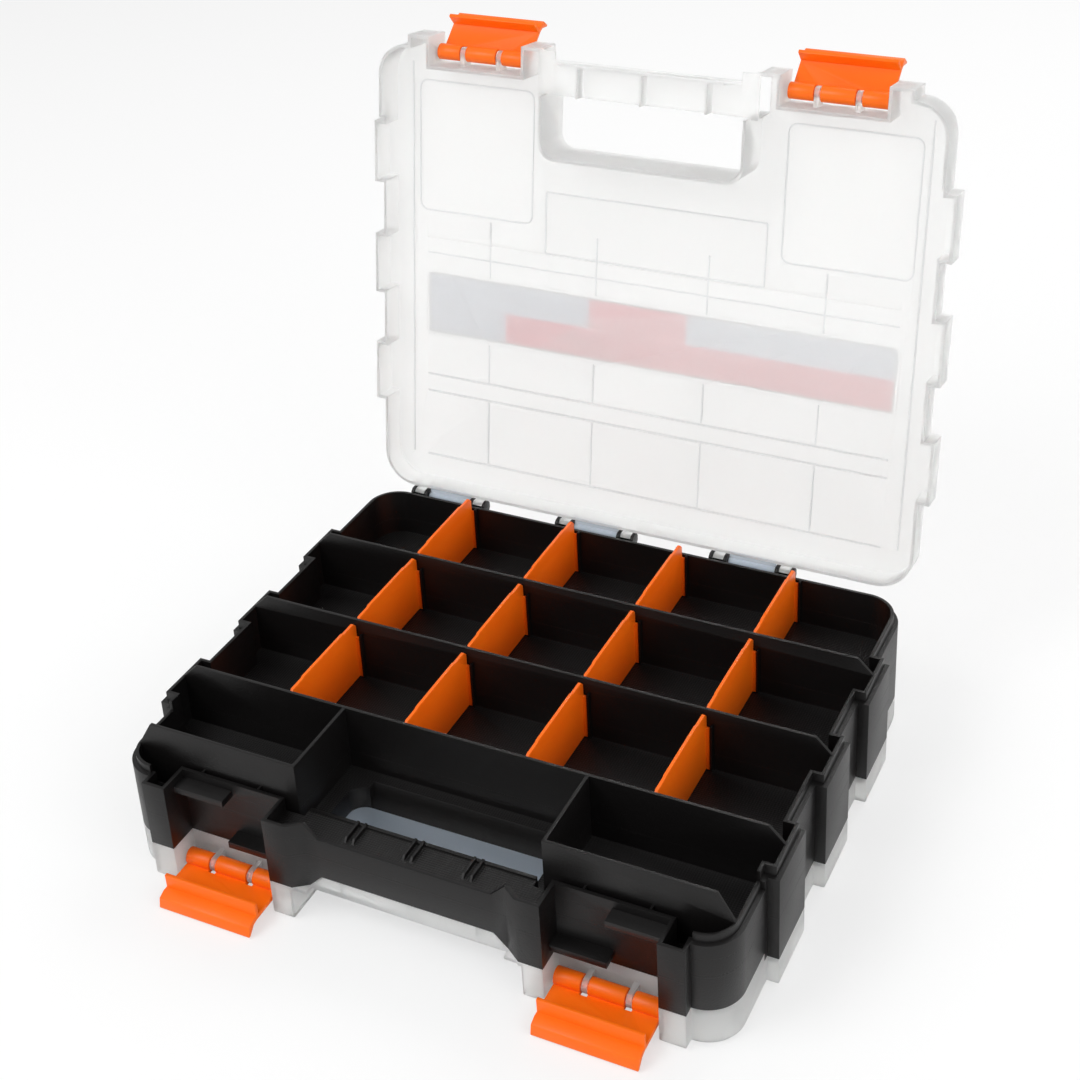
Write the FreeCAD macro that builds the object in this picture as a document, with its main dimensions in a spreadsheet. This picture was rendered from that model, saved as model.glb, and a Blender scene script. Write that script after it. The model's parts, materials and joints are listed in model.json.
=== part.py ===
# Double-sided organizer box: one tray open above and below, two hinged lids,
# four latches and sliding dividers. Millimetres, X to the right, Y to the rear, Z up.
# The origin is the middle of the flat face that the closed lower lid stands on.
import FreeCAD, Part
import Sketcher
import os
import re

# name, size in mm, what it is
SIZES = [
    ("width", 320, "over the side bumps"),
    ("box_height", 76, "over both closed lids"),
    ("side_lid_height", 15.5, "depth of a lid at its sides and rear"),
    ("front_lid_height", 20, "depth of a lid at its front"),
    ("bump_depth", 5.5, "how far the side bumps stand out"),
    ("bump_length", 34, "length of a side bump"),
    ("row_pitch", 63.5, "from one row wall to the next"),
    ("front_row_place", 69, "front row wall, in front of the middle"),
    ("column_pitch", 63.5, "from one divider column to the next"),
    ("inner_wall", 1.6, "row walls and bin walls"),
    ("floor_thick", 2.4, "floor between the two sides"),
    ("wall_gap", 0.4, "air between a row wall and the lid panel"),
    ("bin_depth", 46, "front bins, from the front row wall"),
    ("catch_wall_step", 5, "from the bin front wall to the catch wall"),
    ("catch_bay_depth", 15.5, "from the catch wall to the post fronts"),
    ("corner_step", 5.5, "front corners stand back from the posts"),
    ("handle_step", 5, "handle bar stands back from the posts"),
    ("corner_flat", 0.5, "straight run between an outer post and its corner"),
    ("window_margin", 3.5, "hand hole inside the handle's span"),
    ("bin_margin", 5.5, "side bins outside the handle's span"),
    ("bin_bevel", 11.5, "where the bin front wall starts to fall away, from the side"),
    ("handle_slope", 7, "where the bar meets the posts"),
    ("inner_post", 12, "width of an inner post"),
    ("catch_bay", 54, "width of a latch bay"),
    ("outer_post", 12.5, "width of an outer post"),
    ("front_radius", 17.5, "front corners in plan"),
    ("rear_radius", 19, "rear corners in plan"),
    ("rim_wall", 3.8, "tray wall with its two lips"),
    ("skin", 1.8, "front skin of the tray"),
    ("lid_wall", 1.6, "side walls of a lid"),
    ("lid_panel", 2, "flat panel of a lid"),
    ("lid_fit", 0.6, "air between lid wall and inner lip"),
    ("seat_gap", 0.3, "air under a closed lid's rim"),
    ("side_lip", 5, "inner lip above the side rim"),
    ("front_lip", 4, "inner lip above the front rim"),
    ("rim_step", 3, "lower front rim starts in front of the bumps"),
    ("handle_height", 22, "black part of the handle bar"),
    ("bar_rise", 2, "clear part of the handle bar, above the front rim"),
    ("bar_depth", 18, "handle bar, front to back"),
    ("window_depth", 31.5, "hand hole"),
    ("window_radius", 8, "rear corners of the hand hole"),
    ("window_slope", 5, "how far the deck slopes into the hand hole"),
    ("grip_gap", 4, "between the two ribs of a pair"),
    ("grip_margin", 21, "outer pair, inside the flat part of the bar"),
    ("grip_thick", 1.2, "one grip rib"),
    ("grip_rise", 1.6, "grip rib above the handle bar"),
    ("handle_core", 12, "web inside the handle bar"),
    ("catch_reach", 8, "how far a catch ledge stands out"),
    ("catch_thick", 3.4, "catch ledge"),
    ("catch_place", 10.4, "inner face of a catch, from the middle plane"),
    ("hinge_setback", 4.6, "hinge axis behind the rear face"),
    ("hinge_rise", 1.5, "hinge axis above the side rim"),
    ("hinge_radius", 3.4, "hinge cheeks"),
    ("hinge_pin", 1.6, "radius of the pins between the cheeks"),
    ("hinge_play", 0.08, "air round a pin"),
    ("cheek_thick", 1.8, "one hinge cheek"),
    ("cheek_space", 6.4, "between two cheeks"),
    ("finger_play", 0.4, "air beside a hinge finger"),
    ("knuckle_pitch", 37, "between the two knuckles of a station"),
    ("station_margin", 4, "outer knuckles, from where the rear corners start"),
    ("station_shift", 22, "middle station, left of the middle"),
    ("latch_width", 50.4, "one latch"),
    ("barrel_radius", 4.2, "latch barrel"),
    ("latch_pin", 1.9, "radius of the latch pivot between barrels"),
    ("latch_play", 0.1, "air round the latch pivot"),
    ("pivot_setout", 6.5, "latch pivot in front of the catch wall"),
    ("pivot_drop", 9.5, "latch pivot below the lid's outer face"),
    ("latch_plate", 2.2, "plate of a latch"),
    ("latch_hook", 1.8, "hook of a latch"),
    ("hook_reach", 9.2, "hook, from the front of the plate"),
    ("hook_gap", 0.4, "air between hook and catch"),
    ("hook_notch", 6, "gap in the middle of the hook"),
    ("lip_length", 7.4, "finger lip beyond the hook"),
    ("lip_flare", 4.5, "how far the finger lip turns out"),
    ("latch_rib", 2.6, "clear rib that carries the latch"),
    ("latch_slot", 3.6, "slot in the barrel for a clear rib"),
    ("latch_rib_place", 10.5, "clear ribs, from the middle of the latch"),
    ("divider_thick", 1.6, "plate of a divider"),
    ("flange_width", 5, "flange at the end of a divider"),
    ("flange_thick", 1.2, "flange at the end of a divider"),
    ("divider_play", 0.35, "air round a divider's ends"),
    ("divider_drop", 1, "ends of a divider below the wall tops"),
    ("divider_crown", 0.6, "middle of a divider above its ends"),
    ("divider_end", 11, "length of a divider's lower ends"),
    ("rail_thick", 1, "rail beside a divider"),
    ("rail_reach", 2, "how far a rail stands out from its wall"),
    ("label_inset", 26, "ends of the label, inside the side bumps"),
    ("label_depth", 35, "label on the lid"),
    ("label_thick", 0.2, "label on the lid"),
    ("label_sink", 0.5, "field for the label in the lid panel"),
    ("label_margin", 1.5, "air round the label"),
    ("label_place", 17.3, "middle of the label, behind the box middle"),
    ("field_width", 69, "field near a front corner of the lid"),
    ("field_depth", 73, "field near a front corner of the lid"),
    ("field_round", 5, "corners of the fields"),
    ("field_x", 104.5, "front field, from the middle"),
    ("field_y", 72.5, "front field, in front of the middle"),
    ("mid_field_width", 125, "field behind the hand hole of the lid"),
    ("mid_field_depth", 35, "field behind the hand hole of the lid"),
    ("mid_field_y", 38.5, "field behind the hand hole, in front of the middle"),
    ("panel_sink", 0.4, "fields and lines inside the lid panel"),
    ("line_width", 0.8, "line in the lid panel"),
    ("line_inset", 11.5, "outer lines, inside the side bumps"),
    ("line_before", 21, "from the label forward to the first line across"),
    ("line_after", 25, "from the label back to the second line across"),
    ("line_step", 10, "from the second to the third line across"),
    ("line_rear", 74, "from the label back to the last line across"),
    ("line_gap", 3, "between the lines across and those along the columns"),
    ("bar_rib", 1.2, "rib across the clear part of the handle bar"),
    ("bar_rib_gap", 3, "clear rib, from the nearest grip rib"),
    ("overrun", 5, "how far cuts run past"),
]

# name, how it follows from the sizes, what it is
DERIVED = [
    (
        "handle_span",
        "width - 2 * (bump_depth + front_radius + corner_flat + outer_post + catch_bay + inner_post)",
        "between the two inner posts",
    ),
    ("window_width", "handle_span - 2 * window_margin", "hand hole"),
    ("bin_half_gap", "handle_span / 2 + bin_margin", "side bins start this far from the middle"),
    ("bin_wall_end", "width / 2 - bump_depth - bin_bevel", "top end of the bin front wall"),
    ("grip_pitch", "handle_span / 2 - handle_slope - grip_margin", "from one pair of grip ribs to the next"),
    (
        "station_pitch",
        "width / 2 - bump_depth - rear_radius - station_shift - knuckle_pitch / 2 - station_margin",
        "from one hinge station to the next",
    ),
    (
        "lid_handle",
        "box_height / 2 - front_lid_height + bar_rise - handle_height / 2",
        "clear part of the handle bar",
    ),
    ("label_length", "width - 2 * label_inset", "label on the lid"),
]
ROWS = 3
COLUMNS = 4
STATIONS = 3
GRIP_PAIRS = 3
BAR_RIBS = 3

# shares of a size, by name
SHARES = {
    "half_share": 0.5,
    "third_share": 0.333,
    "root_share": 0.25,
    "foot_share": 3.0,
    "round_share": 0.9,
    "mouth_share": 0.8,
    "knee_share": 0.35,
    "bend_share": 0.15,
    "column_share": 1.5,
}

# joint angles of the photographed pose, in degrees
LID_OPEN_ANGLE = 99
UPPER_LATCH_ANGLE = 132
LOWER_LATCH_ANGLE = 91

# places worked out from the sizes, used again and again
HALF = "box_height / 2"
SIDE_RIM = "(box_height / 2 - side_lid_height)"
FRONT_RIM = "(box_height / 2 - front_lid_height)"
WALL_TOP = "(box_height / 2 - lid_panel - wall_gap)"
BIN_FRONT = "(-front_row_place - bin_depth)"
CATCH_WALL = "(-front_row_place - bin_depth - catch_wall_step)"
POST_FRONT = "(-front_row_place - bin_depth - catch_wall_step - catch_bay_depth)"
REAR_INNER = "(%d * row_pitch - front_row_place - inner_wall / 2)" % ROWS
REAR = "(%s + rim_wall)" % REAR_INNER
RIM_STEP = "(-front_row_place - bump_length / 2 - rim_step)"
HANDLE_FRONT = "(-front_row_place - bin_depth - catch_wall_step - catch_bay_depth + handle_step)"
HANDLE_BACK = (
    "(-front_row_place - bin_depth - catch_wall_step - catch_bay_depth + handle_step + bar_depth)"
)
WINDOW_BACK = HANDLE_BACK[:-1] + " + window_depth)"
CATCH_MIDDLE = "(handle_span / 2 + inner_post + catch_bay / 2)"
HINGE_Y = "(%s + hinge_setback)" % REAR
HINGE_Z = "(box_height / 2 - side_lid_height + hinge_rise)"
PIVOT_Y = "(-front_row_place - bin_depth - catch_wall_step - pivot_setout)"
PIVOT_Z = "(box_height / 2 - pivot_drop)"

doc = FreeCAD.newDocument("organizer_box")
sheet = doc.addObject("Spreadsheet::Sheet", "Sizes")
for line, (name, size, note) in enumerate(SIZES, start=1):
    sheet.set("A%d" % line, name)
    sheet.set("B%d" % line, str(size))
    sheet.set("C%d" % line, note)
    sheet.setAlias("B%d" % line, name)
for line, (name, rule, note) in enumerate(DERIVED, start=len(SIZES) + 1):
    sheet.set("A%d" % line, name)
    sheet.set("B%d" % line, "=" + rule)
    sheet.set("C%d" % line, note)
    sheet.setAlias("B%d" % line, name)
    doc.recompute()
doc.recompute()
NAMES = {row[0] for row in SIZES + DERIVED}
NEARLY = 1e-6
AS_PITCH = -1


def link(text):
    """Point the size names in a text at the cells of the sheet."""
    for name, share in SHARES.items():
        text = text.replace(name, str(share))
    return re.sub(r"[a-z_]+", lambda word: "Sizes." + word[0] if word[0] in NAMES else word[0], text)


def value(text):
    """The number that a text of sizes stands for now."""
    return float(sheet.evalExpression(link(text)))


def new_body(name):
    """A body that becomes one sub-part."""
    body = doc.addObject("PartDesign::Body", "body_" + name)
    body.Label = name
    return body


def origin_plane(body, role):
    """The plane of the body's own origin with this role."""
    return next(item for item in body.Origin.OriginFeatures if item.Role == role)


def new_sketch(body, name, role, offset="0"):
    """An empty sketch on an origin plane, moved along the plane's normal."""
    sketch = body.newObject("Sketcher::SketchObject", name + "_sketch")
    sketch.AttachmentSupport = [(origin_plane(body, role), "")]
    sketch.MapMode = "FlatFace"
    sketch.setExpression("AttachmentOffset.Base.z", link(offset))
    return sketch


def round_stop(corner, before, after, place):
    """Where a rounded corner begins and ends, as texts."""
    ends = []
    for other in (before, after):
        end = []
        for text, way in zip(corner, (other[0] - place[0], other[1] - place[1])):
            sign = "+" if way > 0 else "-"
            end.append("%s %s %s" % (text, sign, corner[2]) if abs(way) > NEARLY else text)
        ends.append(tuple(end))
    return ends


def outline_edges(corners, base, edges, rules):
    """Lines, arcs and rules of one closed outline; a corner's third text rounds it."""
    count = len(corners)
    places = [FreeCAD.Vector(value(corner[0]), value(corner[1]), 0) for corner in corners]
    stops = []
    for number, corner in enumerate(corners):
        after = places[(number + 1) % count]
        if len(corner) == 2:
            stops.append([corner, corner])
        else:
            stops.append(round_stop(corner, places[number - 1], after, places[number]))
    spots = [[FreeCAD.Vector(value(x), value(y), 0) for x, y in stop] for stop in stops]
    level = []
    upright = []
    for number, corner in enumerate(corners):
        after = (number + 1) % count
        run = places[after] - places[number]
        edges.append(Part.LineSegment(spots[number][1], spots[after][0]))
        level.append(abs(run.y) < NEARLY)
        upright.append(abs(run.x) < NEARLY)
        if level[-1]:
            rules.append((Sketcher.Constraint("Horizontal", base + number), None))
            rules.append((("DistanceY", base + number, 1), corner[1]))
        if upright[-1]:
            rules.append((Sketcher.Constraint("Vertical", base + number), None))
            rules.append((("DistanceX", base + number, 1), corner[0]))
    for number, corner in enumerate(corners):
        before = base + (number - 1) % count
        here = base + number
        if len(corner) == 2:
            rules.append((Sketcher.Constraint("Coincident", before, 2, here, 1), None))
            if not (upright[number - 1] or upright[number]):
                rules.append((("DistanceX", here, 1), corner[0]))
            if not (level[number - 1] or level[number]):
                rules.append((("DistanceY", here, 1), corner[1]))
            continue
        first, last = spots[number]
        centre = first + last - places[number]
        radius = value(corner[2])
        point = centre + (places[number] - centre).normalize() * radius
        turn = (places[number] - first).cross(last - places[number]).z
        ends = (1, 2) if turn > 0 else (2, 1)
        edge = len(edges)
        edges.append(Part.Arc(first, point, last))
        rules.append((Sketcher.Constraint("Tangent", before, 2, edge, ends[0]), None))
        rules.append((Sketcher.Constraint("Tangent", here, 1, edge, ends[1]), None))
        rules.append((("Radius", edge), corner[2]))


def draw(sketch, outlines, circles=()):
    """Outlines from lists of corners, and circles as x, y and radius."""
    edges = []
    rules = []
    for corners in outlines:
        outline_edges(corners, len(edges), edges, rules)
    for x, y, radius in circles:
        centre = FreeCAD.Vector(value(x), value(y), 0)
        rules.append((("DistanceX", len(edges), 3), x))
        rules.append((("DistanceY", len(edges), 3), y))
        rules.append((("Radius", len(edges)), radius))
        edges.append(Part.Circle(centre, FreeCAD.Vector(0, 0, 1), value(radius)))
    sketch.addGeometry(edges, False)
    ready = []
    for rule, text in rules:
        ready.append(rule if text is None else Sketcher.Constraint(*rule, value(text)))
    sketch.addConstraint(ready)
    for row, (rule, text) in enumerate(rules):
        if text is not None:
            sketch.setExpression("Constraints[%d]" % row, link(text))


def box_corners(x1, y1, x2, y2):
    """Four corners of a rectangle."""
    return [(x1, y1), (x2, y1), (x2, y2), (x1, y2)]


def feature(kind, body, name, role, outlines, length, offset, symmetric, circles, backwards=False):
    """A pad or a pocket of one sketch."""
    sketch = new_sketch(body, name, role, offset)
    draw(sketch, outlines, circles)
    item = body.newObject("PartDesign::" + kind, name)
    item.Profile = sketch
    item.setExpression("Length", link(length))
    item.SideType = "Symmetric" if symmetric else "One side"
    item.Reversed = backwards
    sketch.Visibility = False
    doc.recompute()
    return item


def pad(body, name, role, outlines, length, offset="0", symmetric=False, circles=()):
    """Material along the normal of a plane, from the offset upwards or to both sides."""
    return feature("Pad", body, name, role, outlines, length, offset, symmetric, circles)


def cut(body, name, role, outlines, length, offset="0", symmetric=False, circles=()):
    """A pocket that starts at the offset and runs along the plane's normal."""
    return feature("Pocket", body, name, role, outlines, length, offset, symmetric, circles, not symmetric)


def pattern(body, name, originals, role, count, pitch, second=None):
    """Repeat features along one or two axes of the body's origin."""
    item = body.newObject("PartDesign::LinearPattern", name)
    item.Originals = originals
    item.Direction = (origin_plane(body, role), [""])
    item.Mode = "Spacing"
    item.setExpression("Offset", link(pitch))
    item.Occurrences = count
    if second:
        item.Direction2 = (origin_plane(body, second[0]), [""])
        item.Mode2 = "Spacing"
        item.setExpression("Offset2", link(second[2]))
        item.Occurrences2 = second[1]
        item.Spacings2 = [AS_PITCH] * (second[1] - 1)
    body.Tip = item
    doc.recompute()
    return item


def both_sides(half):
    """An outline that is alike left and right, from its right half, front to rear."""
    other = [("-(%s)" % corner[0],) + tuple(corner[1:]) for corner in reversed(half)]
    return half + other


def side_run(inset, start=None):
    """The bumped right side from its front corner to the rear corner, inset inwards."""
    low = "(width / 2 - bump_depth - %s)" % inset
    high = "(width / 2 - %s)" % inset
    run = [start] if start else []
    for row in range(ROWS):
        middle = "(%d * row_pitch - front_row_place)" % row
        front = "(%s - bump_length / 2 + %s)" % (middle, inset)
        back = "(%s + bump_length / 2 - %s)" % (middle, inset)
        run += [(low, front), (high, front), (high, back), (low, back)]
    run.append((low, "(%s - %s)" % (REAR, inset), "(rear_radius - %s)" % inset))
    return run


def box_outline(front_inset, side_inset):
    """The outline of tray and lids in plan, inset inwards."""
    i = front_inset
    x1 = "(handle_span / 2 + %s)" % i
    x2 = "(handle_span / 2 + inner_post - %s)" % i
    x3 = "(handle_span / 2 + inner_post + catch_bay + %s)" % i
    x4 = "(handle_span / 2 + inner_post + catch_bay + outer_post - %s)" % i
    bar = "(%s + %s)" % (HANDLE_FRONT, i)
    post = "(%s + %s)" % (POST_FRONT, i)
    catch = "(%s + %s)" % (CATCH_WALL, i)
    corner = "(%s + corner_step + %s)" % (POST_FRONT, side_inset)
    side = "(width / 2 - bump_depth - %s)" % side_inset
    half = [(x1 + " - handle_slope", bar), (x1, post), (x2, post), (x2, catch)]
    half += [(x3, catch), (x3, post), (x4, post), (x4, corner)]
    half += side_run(side_inset, (side, corner, "(front_radius - %s)" % side_inset))
    return both_sides(half)


def left_right(corners):
    """An outline and its twin on the other side of the middle."""
    return [corners, [("-(%s)" % corner[0],) + tuple(corner[1:]) for corner in corners]]


def up_down(corners):
    """An outline drawn above the middle plane and its twin below."""
    return [corners, [(corner[0], "-(%s)" % corner[1]) + tuple(corner[2:]) for corner in corners]]


def join(name, bodies):
    """One piece made of several bodies."""
    whole = doc.addObject("Part::MultiFuse", "whole_" + name)
    whole.Shapes = bodies
    whole.Label = "whole_" + name
    doc.recompute()
    return whole


def placed(original, name, placement):
    """A piece in its place, linked to the one that it repeats."""
    piece = doc.addObject("App::Link", "placed_" + name)
    piece.LinkedObject = original
    piece.Placement = placement
    piece.Label = name
    return piece


def block(whole, name, corner, far):
    """The part of a piece inside a box, given by its near and far corners."""
    frame = doc.addObject("Part::Box", "block_" + name)
    for side, low, high in zip(("Length", "Width", "Height"), corner, far):
        frame.setExpression(side, link("%s - %s" % (high, low)))
    for axis, text in zip("xyz", corner):
        frame.setExpression("Placement.Base." + axis, link(text))
    part = doc.addObject("Part::Common", "part_" + name)
    part.Base = whole
    part.Tool = frame
    part.Label = name
    return part


def tray_blocks(tray):
    """The moulding as nine blocks that meet face to face, each of a simple form."""
    post = "(handle_span / 2 + inner_post / 2)"
    across = ["(-width)", "(-%s)" % post, post, "width"]
    first = "(-front_row_place - inner_wall / 2)"
    last = "(row_pitch + row_pitch - front_row_place - inner_wall / 2)"
    along = ["(-width)", first, last, "width"]
    blocks = []
    for row, row_name in enumerate(("front", "centre", "rear")):
        for column, column_name in enumerate(("left", "mid", "right")):
            near = (across[column], along[row], "0")
            far = (across[column + 1], along[row + 1], "box_height")
            name = "tray_%s_%s" % (row_name, column_name)
            blocks.append(block(tray, name, near, far))
    return blocks


def lid_parts(lid):
    """A lid as the rim and the flat panel on it, which meet face to face."""
    under = "(box_height / 2 - lid_panel)"
    parts = {}
    for level, low, high in (("rim", "0", under), ("panel", under, "box_height")):
        near = ("(-width)", "(-width)", low)
        parts[level] = block(lid, "lid_" + level, near, ("width", "width", high))
    return parts


def make_tray():
    """The black tray: one floor half way up, walls above and below it."""
    bodies = [make_shell(), make_walls(), make_rails(), make_catches()]
    bodies += [make_knuckles("upper", 1), make_knuckles("lower", -1)]
    tray = join("tray", bodies)
    tray.setExpression("Placement.Base.z", link(HALF))
    return tray


def make_shell():
    """Outer walls with their inner lips, the floor, the handle bar and the hand hole."""
    body = new_body("tray_shell")
    side = "(width / 2 - bump_depth)"
    pad(body, "front_band", "XY_Plane", [box_outline("0", "0")], "2 * " + FRONT_RIM, symmetric=True)
    rear_band = both_sides([(side, RIM_STEP)] + side_run("0"))
    pad(body, "side_band", "XY_Plane", [rear_band], "2 * " + SIDE_RIM, symmetric=True)
    inset = "(lid_wall + lid_fit)"
    lip = "(width / 2 - bump_depth - %s)" % inset
    rear_lip = both_sides([(lip, RIM_STEP)] + side_run(inset))
    height = "2 * (%s + side_lip)" % SIDE_RIM
    pad(body, "side_and_rear_lip", "XY_Plane", [rear_lip], height, symmetric=True)
    start = "(width / 2 - bump_depth - front_radius - seat_gap)"
    front = "(%s + corner_step + %s)" % (POST_FRONT, inset)
    corner = [(start, front), (lip, front, "(front_radius - %s)" % inset), (lip, RIM_STEP), (start, RIM_STEP)]
    height = "2 * (%s + front_lip)" % FRONT_RIM
    pad(body, "corner_lips", "XY_Plane", left_right(corner), height, symmetric=True)
    cut_handle_dips(body)
    cut(body, "hollow", "XY_Plane", [box_outline("skin", "rim_wall")], "box_height", symmetric=True)
    middle = box_outline("skin * half_share", "rim_wall * half_share")
    pad(body, "floor", "XY_Plane", [middle], "floor_thick", symmetric=True)
    add_handle(body)
    add_hand_hole(body)
    return body


def cut_handle_dips(body):
    """The front band is lower between the two inner posts."""
    foot = "(handle_span / 2 - 2 * handle_slope)"
    head = "(handle_span / 2 - handle_slope)"
    low = "(handle_height / 2)"
    past = "(%s + overrun)" % FRONT_RIM
    corners = both_sides([(foot, low), (head, FRONT_RIM), (head, past)])
    depth = "(handle_step + handle_slope)"
    cut(body, "handle_dips", "XZ_Plane", up_down(corners), depth, "(-(%s) - %s)" % (POST_FRONT, depth))


def add_handle(body):
    """The handle bar: front skin, back wall, a web between them and arched grip ribs."""
    reach = "(handle_span / 2)"
    head = "(handle_span / 2 - handle_slope)"
    back = "(%s - skin)" % HANDLE_BACK
    rear = "(%s - skin / 2)" % HANDLE_BACK
    front = "(%s + skin / 2)" % HANDLE_FRONT
    wall = box_corners("-" + reach, back, reach, HANDLE_BACK)
    pad(body, "bar_back", "XY_Plane", [wall], "handle_height", symmetric=True)
    core = box_corners("-" + head, front, head, rear)
    pad(body, "bar_core", "XY_Plane", [core], "handle_core", symmetric=True)
    top = "(handle_height / 2 + grip_rise)"
    crest = "(%s + bar_depth * third_share)" % HANDLE_FRONT
    grip = [(front, "-handle_core / 2"), (crest, "-" + top), (rear, "-" + top)]
    grip += [(rear, top), (crest, top), (front, "handle_core / 2")]
    first = "(-grip_pitch - grip_gap / 2)"
    rib = pad(body, "grip_rib", "YZ_Plane", [grip], "grip_thick", first, symmetric=True)
    second = ("X_Axis", GRIP_PAIRS, "grip_pitch")
    pattern(body, "grip_ribs", [rib], "X_Axis", 2, "grip_gap", second)


def add_hand_hole(body):
    """The hole behind the handle bar, with a skirt and a sloping deck."""
    across = "(window_width / 2 + skin)"
    rear = "(%s - skin / 2)" % HANDLE_BACK
    low = "(-handle_height / 2)"
    skirt = box_corners("-" + across, rear, across, "(%s + window_slope + skin)" % WINDOW_BACK)
    pad(body, "window_skirt", "XY_Plane", [skirt], "handle_height / 2", low)
    cut(body, "window", "XY_Plane", [window_outline("0")], "box_height", symmetric=True)
    deck = "(floor_thick / 2)"
    inner = "(%s - window_radius)" % WINDOW_BACK
    slope = [(inner, low), (WINDOW_BACK, low), ("(%s + window_slope)" % WINDOW_BACK, deck), (inner, deck)]
    cut(body, "window_deck", "YZ_Plane", [slope], "window_width - 2 * window_radius", symmetric=True)


def window_outline(grow):
    """The hand hole in plan, made larger on three sides."""
    half = "(window_width / 2 + %s)" % grow
    back = "(%s + %s)" % (WINDOW_BACK, grow)
    rounding = "(window_radius + %s)" % grow
    return both_sides([(half, HANDLE_BACK), (half, back, rounding)])


def make_walls():
    """Row walls with bevelled ends, and the two front bins."""
    body = new_body("tray_walls")
    lip_top = "(%s + side_lip)" % SIDE_RIM
    end = "(width / 2 - rim_wall + lid_wall / 2)"
    bevelled = "(%s - %s + %s)" % (end, WALL_TOP, lip_top)
    half = [(bevelled, "-" + WALL_TOP), (end, "-" + lip_top), (end, lip_top), (bevelled, WALL_TOP)]
    wall = [both_sides(half)]
    row = pad(body, "row_wall", "XZ_Plane", wall, "inner_wall", "front_row_place", symmetric=True)
    pattern(body, "row_walls", [row], "Y_Axis", ROWS, "row_pitch")
    centre = "(width / 2 - bump_depth - front_radius)"
    reach = "(front_radius - rim_wall + lid_wall / 2)"
    drop = "(%s + corner_step + front_radius - %s)" % (POST_FRONT, BIN_FRONT)
    bin_end = "(%s + sqrt(%s * %s - %s * %s))" % (centre, reach, reach, drop, drop)
    front_top = "(%s + front_lip)" % FRONT_RIM
    near = "(bin_half_gap - inner_wall / 2)"
    side = box_corners(near, BIN_FRONT, "(bin_half_gap + inner_wall / 2)", "(-front_row_place)")
    pad(body, "bin_sides", "XY_Plane", left_right(side), "2 * " + WALL_TOP, symmetric=True)
    front = [
        (near, "-" + WALL_TOP),
        ("bin_wall_end", "-" + WALL_TOP),
        (bin_end, "-" + front_top),
        (bin_end, front_top),
        ("bin_wall_end", WALL_TOP),
        (near, WALL_TOP),
    ]
    place = "(front_row_place + bin_depth)"
    pad(body, "bin_fronts", "XZ_Plane", left_right(front), "inner_wall", place, symmetric=True)
    return body


def rail(side, face, way):
    """A rail beside the first divider place, standing out from a wall face."""
    middle = "(-column_pitch * column_share)"
    near = "(%s %s (flange_width / 2 + divider_play))" % (middle, side)
    far = "(%s %s (flange_width / 2 + divider_play + rail_thick))" % (middle, side)
    root = "(%s %s (-inner_wall / 2))" % (face, way)
    top = "(%s %s rail_reach)" % (face, way)
    return box_corners(near, root, far, top)


def make_rails():
    """Rails for the dividers' flanges on every row wall and on the rear wall."""
    body = new_body("tray_rails")
    front = "(inner_wall / 2 - front_row_place)"
    rear = "(row_pitch - inner_wall / 2 - front_row_place)"
    outlines = [rail(side, face, way) for side in "-+" for face, way in ((front, "+"), (rear, "-"))]
    height = "2 * (%s + side_lip)" % SIDE_RIM
    cell = pad(body, "rails", "XY_Plane", outlines, height, symmetric=True)
    second = ("Y_Axis", ROWS, "row_pitch")
    pattern(body, "all_rails", [cell], "X_Axis", COLUMNS, "column_pitch", second)
    return body


def make_catches():
    """In each bay an upper catch on the outer half and a lower one on the inner half."""
    body = new_body("tray_catches")
    front = "(%s - catch_reach)" % CATCH_WALL
    back = "(%s + skin / 2)" % CATCH_WALL
    outer = "(%s + catch_bay / 2 + skin / 2)" % CATCH_MIDDLE
    inner = "(%s - catch_bay / 2 - skin / 2)" % CATCH_MIDDLE
    upper = left_right(box_corners(CATCH_MIDDLE, front, outer, back))
    pad(body, "upper_catches", "XY_Plane", upper, "catch_thick", "catch_place")
    lower = left_right(box_corners(inner, front, CATCH_MIDDLE, back))
    pad(body, "lower_catches", "XY_Plane", lower, "catch_thick", "(-catch_place - catch_thick)")
    return body


def make_knuckles(side, way):
    """Three stations of two knuckles; the lower row is the upper one turned about Y."""
    body = new_body("tray_%s_knuckles" % side)
    sign = "" if way > 0 else "-"
    wall = "(%s - rim_wall * root_share)" % REAR
    clear = "(%s - hinge_radius - lid_wall * root_share)" % HINGE_Y
    tip = "(%s + hinge_radius)" % HINGE_Y
    under = "(%s - 2 * seat_gap)" % SIDE_RIM
    foot = "(%s - hinge_radius * foot_share)" % SIDE_RIM
    top = "(%s + hinge_radius)" % HINGE_Z
    cheek = [
        (wall, sign + foot),
        (wall, sign + under),
        (clear, sign + under),
        (clear, sign + top, "(hinge_radius * round_share)"),
        (tip, sign + top, "(hinge_radius * round_share)"),
        (tip, sign + "(%s - hinge_radius / 2)" % HINGE_Z),
    ]
    middle = "(station_pitch + station_shift + knuckle_pitch / 2)"
    if way < 0:
        middle = "(station_pitch - station_shift + knuckle_pitch / 2)"
    wide = "(cheek_space + 2 * cheek_thick)"
    place = "(-%s)" % middle
    block = pad(body, side + "_knuckle", "YZ_Plane", [cheek], wide, place, symmetric=True)
    past = sign + "(%s + overrun)" % HINGE_Z
    gap = box_corners(wall, sign + "(%s - overrun)" % SIDE_RIM, "(%s + overrun)" % tip, past)
    space = cut(body, side + "_gap", "YZ_Plane", [gap], "cheek_space", place, symmetric=True)
    pins = [(HINGE_Y, sign + HINGE_Z, "hinge_pin")]
    long = "(cheek_space + cheek_thick)"
    pin = pad(body, side + "_pin", "YZ_Plane", [], long, place, symmetric=True, circles=pins)
    second = ("X_Axis", STATIONS, "station_pitch")
    pattern(body, side + "_knuckles", [block, space, pin], "X_Axis", 2, "knuckle_pitch", second)
    return body


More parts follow.
